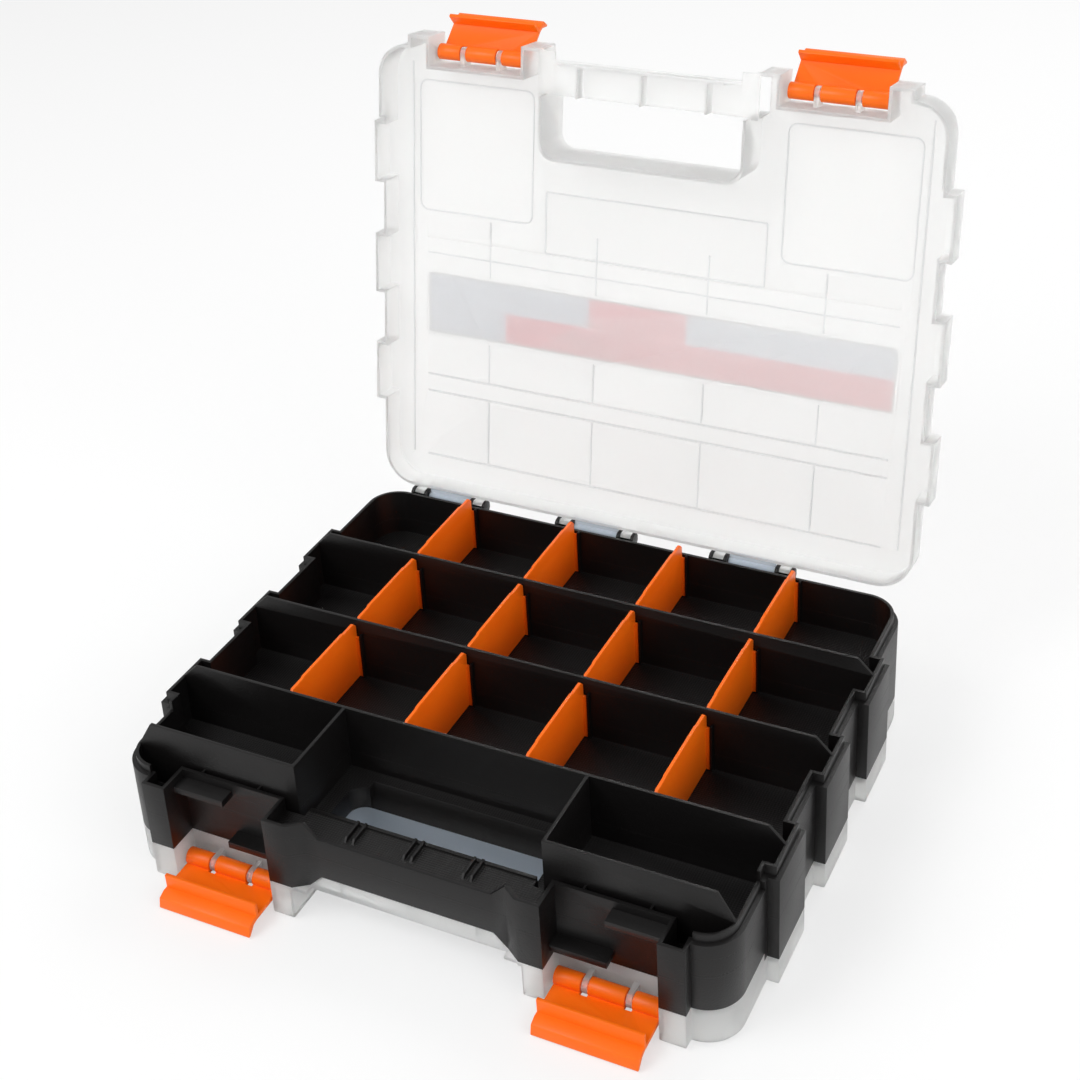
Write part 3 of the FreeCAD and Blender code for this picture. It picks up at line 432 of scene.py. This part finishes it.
def label_print(band, ground, margin):
    """Glossy printed film: plain bands of two colours with a white margin, no words."""
    made, tree = fresh_material("label_film_printed")
    place = add_node(tree, "ShaderNodeTexCoord").outputs["Object"]
    split = add_node(tree, "ShaderNodeSeparateXYZ", {}, {"Vector": place})
    across, up = split.outputs["X"], split.outputs["Z"]
    low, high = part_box("lid_label")
    middle = (low.z + high.z) / 2
    lower = within(tree, (up, low.z, middle), (across, LOWER_BAND_MM * MM, high.x))
    block = within(tree, (up, middle, high.z), (across, *(x * MM for x in BLOCK_MM)))
    field = within(
        tree,
        (across, low.x + margin, high.x - margin),
        (up, low.z + margin, high.z - margin),
    )
    inked = add_node(tree, "ShaderNodeMath", {"operation": "MAXIMUM"}, {0: lower, 1: block})
    inks = add_node(
        tree,
        "ShaderNodeMix",
        {"data_type": "RGBA", "A": linear(ground), "B": linear(band)},
        {"Factor": inked.outputs[0]},
    )
    film = add_node(
        tree,
        "ShaderNodeMix",
        {"data_type": "RGBA", "A": linear("f4f4f4")},
        {"Factor": field, "B": inks.outputs["Result"]},
    )
    skin = add_node(
        tree,
        "ShaderNodeBsdfPrincipled",
        {"IOR": 1.5, "Roughness": 0.3},
        {"Base Color": film.outputs["Result"]},
    )
    # the film is thin enough to let light from behind through
    glow = add_node(tree, "ShaderNodeBsdfTranslucent", {}, {"Color": film.outputs["Result"]})
    blend = add_node(
        tree,
        "ShaderNodeMixShader",
        {"Fac": 0.5},
        {1: skin.outputs["BSDF"], 2: glow.outputs["BSDF"]},
    )
    add_node(tree, "ShaderNodeOutputMaterial", {}, {"Surface": blend.outputs["Shader"]})
    return made


def studio_white():
    """Matte pale paper that keeps the shadow and turns white where only the camera sees it."""
    made, tree = fresh_material("studio_floor_white")
    matte = add_node(tree, "ShaderNodeBsdfDiffuse", {"Color": (0.92, 0.92, 0.92, 1.0)})
    glow = add_node(tree, "ShaderNodeEmission", {"Color": (1.0, 1.0, 1.0, 1.0), "Strength": 1.0})
    share = add_node(
        tree, "ShaderNodeMath", {"operation": "MULTIPLY", 1: FLOOR_GLOW}, {0: background_rays(tree)}
    )
    blend = add_node(
        tree,
        "ShaderNodeMixShader",
        {},
        {0: share.outputs[0], 1: matte.outputs["BSDF"], 2: glow.outputs["Emission"]},
    )
    add_node(tree, "ShaderNodeOutputMaterial", {}, {"Surface": blend.outputs["Shader"]})
    return made


def studio_sky(strength):
    """A pale surround that lights the box, and is white where the camera sees it."""
    world = bpy.data.worlds.new("studio_sky")
    world.use_nodes = True
    tree = world.node_tree
    tree.nodes.clear()
    sky, white = (
        add_node(tree, "ShaderNodeBackground", {"Color": (1, 1, 1, 1), "Strength": power})
        for power in (strength, 1.0)
    )
    blend = add_node(
        tree,
        "ShaderNodeMixShader",
        {},
        {0: background_rays(tree), 1: sky.outputs["Background"], 2: white.outputs["Background"]},
    )
    add_node(tree, "ShaderNodeOutputWorld", {}, {"Surface": blend.outputs["Shader"]})
    return world


def deselect():
    """Leave edit mode and select nothing."""
    if bpy.context.object and bpy.context.object.mode != "OBJECT":
        bpy.ops.object.mode_set(mode="OBJECT")
    bpy.ops.object.select_all(action="DESELECT")


def activate(piece):
    """Make one object the only selected and active one."""
    deselect()
    piece.select_set(True)
    bpy.context.view_layer.objects.active = piece


def edit(piece):
    """Open a piece in edit mode, with all of it selected."""
    activate(piece)
    bpy.ops.object.mode_set(mode="EDIT")
    bpy.ops.mesh.select_all(action="SELECT")


def unselect(piece, kind):
    """Clear the selection inside a piece, before its points or edges are picked by place."""
    activate(piece)
    bpy.ops.object.mode_set(mode="EDIT")
    bpy.ops.mesh.select_mode(type=kind)
    bpy.ops.mesh.select_all(action="DESELECT")
    bpy.ops.object.mode_set(mode="OBJECT")


def settle(piece, place):
    """Move a piece, and put its place and turn into its mesh."""
    piece.matrix_world = place
    activate(piece)
    bpy.ops.object.transform_apply(location=True, rotation=True, scale=True)


def stretched(name, size):
    """Name the new primitive, and put its place and size into its mesh."""
    piece = bpy.context.object
    piece.name = name
    piece.scale = size
    bpy.ops.object.transform_apply(location=True, rotation=False, scale=True)
    return piece


def put_in_scene(name, data):
    """A new object of the scene."""
    made = bpy.data.objects.new(name, data)
    bpy.context.scene.collection.objects.link(made)
    return made


def merge(piece, distance_mm):
    """Merge points that are nearer to each other than a distance."""
    edit(piece)
    bpy.ops.mesh.remove_doubles(threshold=distance_mm * MM)
    bpy.ops.object.mode_set(mode="OBJECT")


def dissolve(piece):
    """Take away the edges inside flat faces."""
    edit(piece)
    bpy.ops.mesh.dissolve_limited(angle_limit=math.radians(FLAT_DEG))
    bpy.ops.object.mode_set(mode="OBJECT")


def combine(piece, way, tool=None, tools=None):
    """Add the shape of an object, or of a collection, to a piece, or take it away."""
    step = piece.modifiers.new("combine", "BOOLEAN")
    step.operation = way
    step.solver = "EXACT"
    if tools is None:
        step.object = tool
    else:
        step.operand_type = "COLLECTION"
        step.collection = tools
    activate(piece)
    bpy.ops.object.modifier_apply(modifier="combine")
    for used in [tool] if tools is None else list(tools.objects):
        bpy.data.meshes.remove(used.data)


def bevel_edges(piece, width, angle_deg):
    """Round the edges of a piece that turn by more than an angle."""
    bevel = piece.modifiers.new("bevel", "BEVEL")
    bevel.width = width
    bevel.segments = 2
    bevel.limit_method = "ANGLE"
    bevel.angle_limit = math.radians(angle_deg)
    activate(piece)
    bpy.ops.object.modifier_apply(modifier="bevel")
    merge(piece, CROWDED_MM)


def soften(piece, edge):
    """Round a piece's sharp edges as a mould leaves them."""
    dissolve(piece)
    bevel_edges(piece, edge, MOULD_DEG)
    bpy.ops.object.shade_smooth_by_angle(angle=math.radians(SHARP_DEG))


def body_name(node):
    """The CAD body that a node rides on."""
    bodies = frame["record"]["behaviour"]["bodies"]
    return next(name for name, nodes in bodies.items() if node in nodes)


def middle_of(node):
    """The middle of a CAD node's box at rest."""
    low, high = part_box(node)
    return (low + high) / 2


def merged_copy(node, name):
    """A copy of a CAD node with its doubled points merged."""
    piece = put_in_scene(name, frame["nodes"][node].data.copy())
    merge(piece, DOUBLED_MM)
    return piece


def one_skin(nodes, name):
    """Copies of nodes that meet face to face, joined into one closed skin."""
    piece = merged_copy(nodes[0], name)
    others = bpy.data.collections.new(name + "_parts")
    bpy.context.scene.collection.children.link(others)
    for node in nodes[1:]:
        part = merged_copy(node, name + "_part")
        bpy.context.scene.collection.objects.unlink(part)
        others.objects.link(part)
    combine(piece, "UNION", tools=others)
    bpy.data.collections.remove(others)
    return piece


def copied(piece, name, place):
    """A copy of a piece with a mesh of its own, moved to its place."""
    twin = put_in_scene(name, piece.data.copy())
    settle(twin, place)
    return twin


def finish(piece, material, body, nodes=()):
    """Give a piece its material, in a slot of its own, and its body, and hide the CAD nodes that it
    stands for.
    """
    piece.data.materials.clear()
    piece.data.materials.append(material)
    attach(piece, body)
    if nodes:
        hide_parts(*nodes)


def slab(x1, y1, x2, y2, low, high, name):
    """A box given by its corners and its lowest and highest level, in mm."""
    middle = ((x1 + x2) / 2 * MM, (y1 + y2) / 2 * MM, (low + high) / 2 * MM)
    bpy.ops.mesh.primitive_cube_add(size=MM, location=middle)
    return stretched(name, (x2 - x1, y2 - y1, high - low))


def ring(x1, y1, x2, y2, radius_mm, name):
    """A raised outline with rounded corners on the inside of the panel."""
    middle = ((x1 + x2) / 2 * MM, (y1 + y2) / 2 * MM, PANEL_UNDER_MM * MM)
    bpy.ops.mesh.primitive_plane_add(size=MM, location=middle)
    piece = stretched(name, (x2 - x1, y2 - y1, 1))
    edit(piece)
    bpy.ops.mesh.bevel(offset=radius_mm * MM, segments=6, affect="VERTICES")
    bpy.ops.mesh.select_all(action="SELECT")
    bpy.ops.mesh.inset(thickness=BEAD_MM * MM)
    bpy.ops.mesh.delete(type="FACE")
    bpy.ops.object.mode_set(mode="OBJECT")
    thick = piece.modifiers.new("thick", "SOLIDIFY")
    thick.thickness = BEAD_THICK_MM * MM
    thick.offset = 0.0
    bpy.ops.object.modifier_apply(modifier="thick")
    return piece


def joined(parts, name):
    """Several pieces as one object."""
    deselect()
    for part in parts:
        part.select_set(True)
    bpy.context.view_layer.objects.active = parts[0]
    bpy.ops.object.join()
    piece = bpy.context.object
    piece.name = name
    return piece


def round_outer_rim(lid, radius):
    """Round the outer edge of the lower lid's panel, whose outer face lies at height 0."""
    rim_x, front_y, rear_y = OUTER_RIM_MM
    unselect(lid, "EDGE")
    points = [point.co / MM for point in lid.data.vertices]
    on_rim = [
        abs(point.z) < ON_PLANE_MM
        and (abs(point.x) > rim_x or point.y < front_y or point.y > rear_y)
        for point in points
    ]
    uprightness = {}
    for face in lid.data.polygons:
        for key in face.edge_keys:
            uprightness.setdefault(key, []).append(abs(face.normal.z))
    for edge in lid.data.edges:
        # between the flat face and an upright one
        faces = uprightness.get(edge.key, [])
        turns = len(faces) == 2 and min(faces) < 0.5
        edge.select = turns and all(on_rim[point] for point in edge.vertices)
    bpy.ops.object.mode_set(mode="EDIT")
    bpy.ops.mesh.bevel(offset=radius, segments=4, clamp_overlap=False)
    bpy.ops.object.mode_set(mode="OBJECT")


def panel_beads(level):
    """The fine raised lines inside a lid: fields, lines across, along the sides and columns."""
    half = BEAD_MM / 2
    side, first, last = SIDE_RUN
    lines = [(x, y - half, -x, y + half) for x, y in ACROSS]
    for x in COLUMNS:
        lines += [(x - half, start, x + half, end) for start, end in COLUMN_RUNS]
    lines += [(x - half, first, x + half, last) for x in (-side, side)]
    low, high = PANEL_UNDER_MM - BEAD_THICK_MM / 2, PANEL_UNDER_MM + BEAD_THICK_MM / 2
    parts = [ring(*corners, level + "_ring") for corners in RINGS]
    parts += [slab(*corners, low, high, level + "_bead") for corners in lines]
    return joined(parts, level + "_lid_beads")


def lid_hinge():
    """The closed upper lid's hinge: its joint, and its depth and height in mm."""
    joints = frame["record"]["behaviour"]["joints"]
    joint = next(joint for joint in joints if joint["name"] == "upper_lid_hinge")
    return joint, joint["pos_m"][1] / MM, joint["pos_m"][2] / MM


def hinge_tubes(level):
    """At each hinge station a bar on the lid's rear edge, between the two knuckles."""
    _, y, z = lid_hinge()
    reach = TUBE_LENGTH_MM / 2
    parts = []
    for x in STATIONS:
        bpy.ops.mesh.primitive_cylinder_add(
            vertices=32,
            radius=TUBE_RADIUS_MM * MM,
            depth=TUBE_LENGTH_MM * MM,
            location=(x * MM, y * MM, z * MM),
            rotation=(0, math.radians(90), 0),
        )
        tube = bpy.context.object
        bpy.ops.object.transform_apply(location=True, rotation=True, scale=False)
        low, high = z + WEB_INSET_MM, z + TUBE_RADIUS_MM - WEB_INSET_MM
        web = slab(x - reach, y - WEB_REACH_MM, x + reach, y, low, high, level + "_web")
        combine(tube, "UNION", web)
        parts.append(tube)
    return joined(parts, level + "_hinge_tubes")


def rest_of_lid(level):
    """From the closed upper lid to where this lid rests."""
    if level == "lower":
        middle = Matrix.Translation((0, 0, MIDDLE_MM * MM))
        return middle @ Matrix.Rotation(math.pi, 4, "Y") @ middle.inverted()
    joint, y, z = lid_hinge()
    hinge = Matrix.Translation((0, y * MM, z * MM))
    shut = Matrix.Rotation(math.radians(joint["range_deg"][0]), 4, "X")
    return hinge @ shut @ hinge.inverted()


def place_on_lid(piece, level, material):
    """Round a piece drawn on the closed upper lid, and put it on a lid as it rests."""
    bevel_edges(piece, ADDED_EDGE_MM * MM, ADDED_DEG)
    settle(piece, rest_of_lid(level))
    bpy.ops.object.shade_smooth_by_angle(angle=math.radians(SHARP_DEG))
    finish(piece, material, level + "_lid_body")


def close_notch(piece, node):
    """Close the gap in the middle of a latch's hook, so that its ridge runs on."""
    middle = middle_of(node).x
    unselect(piece, "VERT")
    for point in piece.data.vertices:
        aside = abs(point.co.x - middle) / MM
        point.select = abs(aside - NOTCH_HALF_MM) < ON_PLANE_MM
    bpy.ops.object.mode_set(mode="EDIT")
    bpy.ops.transform.resize(value=(0, 1, 1), center_override=(middle, 0, 0))
    bpy.ops.mesh.remove_doubles(threshold=DOUBLED_MM * MM)
    bpy.ops.mesh.select_all(action="DESELECT")
    bpy.ops.mesh.select_interior_faces()
    bpy.ops.mesh.delete(type="FACE")
    bpy.ops.object.mode_set(mode="OBJECT")


def trimmed_divider(node, edge):
    """A divider with its end flanges' tops and its top corners cut off."""
    piece = merged_copy(node, "divider_moulded")
    low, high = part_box(node)
    middle = middle_of(node) / MM
    left, right = low.x / MM - PAST_MM, high.x / MM + PAST_MM
    top = high.z / MM
    cut = CORNER_CUT_MM
    tools = []
    for end, inwards in ((low.y / MM, 1), (high.y / MM, -1)):
        near, far = sorted((end - inwards * PAST_MM, end + inwards * FLANGE_REACH_MM))
        for x1, x2 in ((left, middle.x - PLATE_HALF_MM), (middle.x + PLATE_HALF_MM, right)):
            tools.append(slab(x1, near, x2, far, top - FLANGE_DROP_MM, top + PAST_MM, "flange_top"))
        corner = slab(left, -cut, right, cut, -cut, cut, "corner")
        place = Matrix.Translation((0, end * MM, (top - CROWN_MM) * MM))
        settle(corner, place @ Matrix.Rotation(math.radians(45), 4, "X"))
        tools.append(corner)
    for tool in tools:
        combine(piece, "DIFFERENCE", tool)
    soften(piece, edge)
    return piece


class OrganizerFinish(bpy.types.PropertyGroup):
    """Colours and edge sizes of the box."""

    tray_colour: bpy.props.StringProperty(
        name="Tray colour", description="sRGB hex value of the tray", default="0a0909"
    )
    lid_colour: bpy.props.StringProperty(
        name="Lid colour", description="sRGB hex value of the lids", default="fcfcfb"
    )
    bead_colour: bpy.props.StringProperty(
        name="Bead colour", description="sRGB hex value of the beads in a lid", default="f4f5f6"
    )
    # painted shade: the hinge bars are the lids' plastic painted a darker grey-blue, standing in
    # for the shade of the black tray that they lie against
    bar_painted_shade_colour: bpy.props.StringProperty(
        name="Hinge bar colour",
        description="sRGB hex value of the bars between knuckles",
        default="c6d0db",
    )
    latch_colour: bpy.props.StringProperty(
        name="Latch colour",
        description="sRGB hex value of latches and dividers",
        default="ff7510",
    )
    band_colour: bpy.props.StringProperty(
        name="Band colour", description="sRGB hex value of the label bands", default="fde4e6"
    )
    ground_colour: bpy.props.StringProperty(
        name="Ground colour", description="sRGB hex value of the label ground", default="f6f7fa"
    )
    grain: bpy.props.FloatProperty(
        name="Tray grain",
        description="Width of the tray's grain",
        default=0.0008,
        min=0.0001,
        precision=5,
        unit="LENGTH",
    )
    rim: bpy.props.FloatProperty(
        name="Lid rim",
        description="Rounding of a lid's outer rim",
        default=0.0022,
        min=0.0001,
        precision=5,
        unit="LENGTH",
    )
    edge: bpy.props.FloatProperty(
        name="Edge",
        description="Rounding of moulded edges",
        default=0.0003,
        min=0.00005,
        precision=5,
        unit="LENGTH",
    )
    margin: bpy.props.FloatProperty(
        name="Label margin",
        description="White margin of the label",
        default=0.0012,
        min=0.0,
        precision=5,
        unit="LENGTH",
    )


class OrganizerStudio(bpy.types.PropertyGroup):
    """Floor and lamps."""

    floor_size: bpy.props.FloatProperty(
        name="Floor size",
        description="Width of the floor",
        default=14.0,
        min=1.0,
        unit="LENGTH",
    )
    key_power: bpy.props.FloatProperty(
        name="Key lamp", description="Power of the key lamp", default=16.0, subtype="POWER"
    )
    fill_power: bpy.props.FloatProperty(
        name="Fill lamp",
        description="Power of the fill lamp and the rim lamp",
        default=7.0,
        subtype="POWER",
    )
    sky_strength: bpy.props.FloatProperty(
        name="Sky", description="Strength of the pale surround", default=0.62, min=0.0
    )


class ORGANIZER_OT_tray(bpy.types.Operator):
    """Finish the black tray"""

    bl_idname = "organizer.tray"
    bl_label = "Tray"

    def execute(self, context):
        sizes = context.scene.organizer_finish
        material = black_polypropylene(sizes.tray_colour, sizes.grain)
        blocks = [node for node in sorted(frame["nodes"]) if node.startswith("tray_")]
        tray = one_skin(blocks, "tray_moulded")
        soften(tray, sizes.edge)
        finish(tray, material, "tray_body", blocks)
        mirrored = [2 * MIDDLE_MM - z for z in reversed(CHANNEL_MM)]
        for level, (low, high) in zip(LEVELS, (CHANNEL_MM, mirrored)):
            fill = slab(*CHANNEL_PARTS_MM[0], low, high, level + "_bar_floor")
            for corners in CHANNEL_PARTS_MM[1:]:
                combine(fill, "UNION", slab(*corners, low, high, "post_floor"))
            finish(fill, material, "tray_body")
        near, far = RIB_ENDS_MM
        low, high = 2 * MIDDLE_MM - RIB_TOP_MM, RIB_TOP_MM
        ribs = [
            slab(x - RIB_HALF_MM, near, x + RIB_HALF_MM, far, low, high, "bay_rib")
            for place in RIB_PLACES_MM
            for x in (-place, place)
        ]
        finish(joined(ribs, "bay_ribs"), material, "tray_body")
        return {"FINISHED"}


class ORGANIZER_OT_lids(bpy.types.Operator):
    """Finish the two translucent lids"""

    bl_idname = "organizer.lids"
    bl_label = "Lids"

    def execute(self, context):
        sizes = context.scene.organizer_finish
        material = natural_polypropylene(
            "natural_polypropylene_translucent", sizes.lid_colour, LID_LOOK
        )
        bead = natural_polypropylene("natural_polypropylene_bead", sizes.bead_colour, BEAD_LOOK)
        # the bars' darker grey-blue is painted shade on the lids' plastic
        bar = natural_polypropylene("natural_polypropylene_bar", sizes.bar_painted_shade_colour, BAR_LOOK)
        nodes = {level: [level + "_lid_rim", level + "_lid_panel"] for level in LEVELS}
        pattern = one_skin(nodes["lower"], "lid_moulded")
        dissolve(pattern)
        round_outer_rim(pattern, sizes.rim)
        soften(pattern, sizes.edge)
        closed = rest_of_lid("lower").inverted()
        for level in LEVELS:
            lid = copied(pattern, level + "_lid_moulded", rest_of_lid(level) @ closed)
            finish(lid, material, level + "_lid_body", nodes[level])
            place_on_lid(panel_beads(level), level, bead)
            place_on_lid(hinge_tubes(level), level, bar)
        bpy.data.meshes.remove(pattern.data)
        return {"FINISHED"}


class ORGANIZER_OT_label(bpy.types.Operator):
    """Finish the label film"""

    bl_idname = "organizer.label"
    bl_label = "Label"

    def execute(self, context):
        sizes = context.scene.organizer_finish
        material = label_print(sizes.band_colour, sizes.ground_colour, sizes.margin)
        for place in frame["nodes"]["lid_label"].material_slots:
            place.link = "OBJECT"
            place.material = material
        return {"FINISHED"}


class ORGANIZER_OT_latches(bpy.types.Operator):
    """Round and finish the four latches"""

    bl_idname = "organizer.latches"
    bl_label = "Latches"

    def execute(self, context):
        sizes = context.scene.organizer_finish
        material = orange_polypropylene(sizes.latch_colour)
        for node in ["%s_%s_latch" % (level, side) for level in LEVELS for side in SIDES]:
            latch = merged_copy(node, node + "_moulded")
            close_notch(latch, node)
            soften(latch, sizes.edge)
            finish(latch, material, body_name(node), [node])
        return {"FINISHED"}


class ORGANIZER_OT_dividers(bpy.types.Operator):
    """Trim, round and finish the dividers, in the latches' plastic"""

    bl_idname = "organizer.dividers"
    bl_label = "Dividers"

    def execute(self, context):
        sizes = context.scene.organizer_finish
        material = bpy.data.materials["orange_polypropylene_moulded"]
        nodes = [node for node in sorted(frame["nodes"]) if "_divider_" in node]
        first = next(node for node in nodes if node.startswith("upper"))
        pattern = trimmed_divider(first, sizes.edge * DIVIDER_EDGE_SHARE)
        settle(pattern, Matrix.Translation(-middle_of(first)))
        for node in nodes:
            place = Matrix.Translation(middle_of(node))
            if node.startswith("lower"):
                place = place @ Matrix.Rotation(math.pi, 4, "Y")
            divider = copied(pattern, node + "_moulded", place)
            finish(divider, material, body_name(node), [node])
        bpy.data.meshes.remove(pattern.data)
        return {"FINISHED"}


class ORGANIZER_OT_studio(bpy.types.Operator):
    """Build the floor, the lamps and the camera"""

    bl_idname = "organizer.studio"
    bl_label = "Studio"

    def execute(self, context):
        sizes = context.scene.organizer_studio
        scene = context.scene
        deselect()
        under = (0, 0, cad_low.z - FLOOR_GAP)
        bpy.ops.mesh.primitive_plane_add(size=sizes.floor_size, location=under)
        floor = stretched("studio_floor", (1, 1, 1))
        floor.data.materials.append(studio_white())
        scene.world = studio_sky(sizes.sky_strength)
        for name, place, size, power in LAMPS:
            data = bpy.data.lights.new(name, "AREA")
            data.energy = getattr(sizes, power)
            data.size = size
            lamp = put_in_scene(name, data)
            lamp.location = place
            aim = Vector(LAMP_AIM) - Vector(place)
            lamp.rotation_euler = aim.to_track_quat("-Z", "Y").to_euler()
        data = bpy.data.cameras.new("photograph_camera")
        data.sensor_fit = "HORIZONTAL"
        data.sensor_width = SENSOR_MM
        data.lens = FOCAL_PIXELS / FRAME_PIXELS * SENSOR_MM
        data.shift_x = (FRAME_PIXELS / 2 - CENTRE_PIXELS[0]) / FRAME_PIXELS
        data.shift_y = (CENTRE_PIXELS[1] - FRAME_PIXELS / 2) / FRAME_PIXELS
        data.clip_start, data.clip_end = 0.01, 50.0
        camera = put_in_scene("photograph_camera", data)
        turn = Matrix((CAMERA_RIGHT, -Vector(CAMERA_DOWN), -Vector(CAMERA_FORWARD))).transposed()
        camera.matrix_world = Matrix.Translation(CAMERA_PLACE) @ turn.to_4x4()
        scene.camera = camera
        scene.view_settings.view_transform = "Standard"
        return {"FINISHED"}


OPERATORS = (
    ORGANIZER_OT_tray,
    ORGANIZER_OT_lids,
    ORGANIZER_OT_label,
    ORGANIZER_OT_latches,
    ORGANIZER_OT_dividers,
    ORGANIZER_OT_studio,
)


class ORGANIZER_PT_panel(bpy.types.Panel):
    """Lists the settings and the pieces of the box"""

    bl_idname = "ORGANIZER_PT_panel"
    bl_label = "Organizer box"
    bl_space_type = "VIEW_3D"
    bl_region_type = "UI"
    bl_category = "Organizer"

    def draw(self, context):
        scene = context.scene
        for settings in (scene.organizer_finish, scene.organizer_studio):
            for name in type(settings).__annotations__:
                self.layout.prop(settings, name)
        for operator in OPERATORS:
            self.layout.operator(operator.bl_idname)


CLASSES = (OrganizerFinish, OrganizerStudio, *OPERATORS, ORGANIZER_PT_panel)


def register():
    """Register the classes and the two groups of settings."""
    for item in CLASSES:
        bpy.utils.register_class(item)
    bpy.types.Scene.organizer_finish = bpy.props.PointerProperty(type=OrganizerFinish)
    bpy.types.Scene.organizer_studio = bpy.props.PointerProperty(type=OrganizerStudio)


def unregister():
    """Take the classes and settings away again."""
    del bpy.types.Scene.organizer_studio
    del bpy.types.Scene.organizer_finish
    for item in reversed(CLASSES):
        bpy.utils.unregister_class(item)


def main():
    """Make the whole scene."""
    register()
    bpy.ops.organizer.tray()
    bpy.ops.organizer.lids()
    bpy.ops.organizer.label()
    bpy.ops.organizer.latches()
    bpy.ops.organizer.dividers()
    bpy.ops.organizer.studio()
    deselect()


if __name__ == "__main__":
    main()
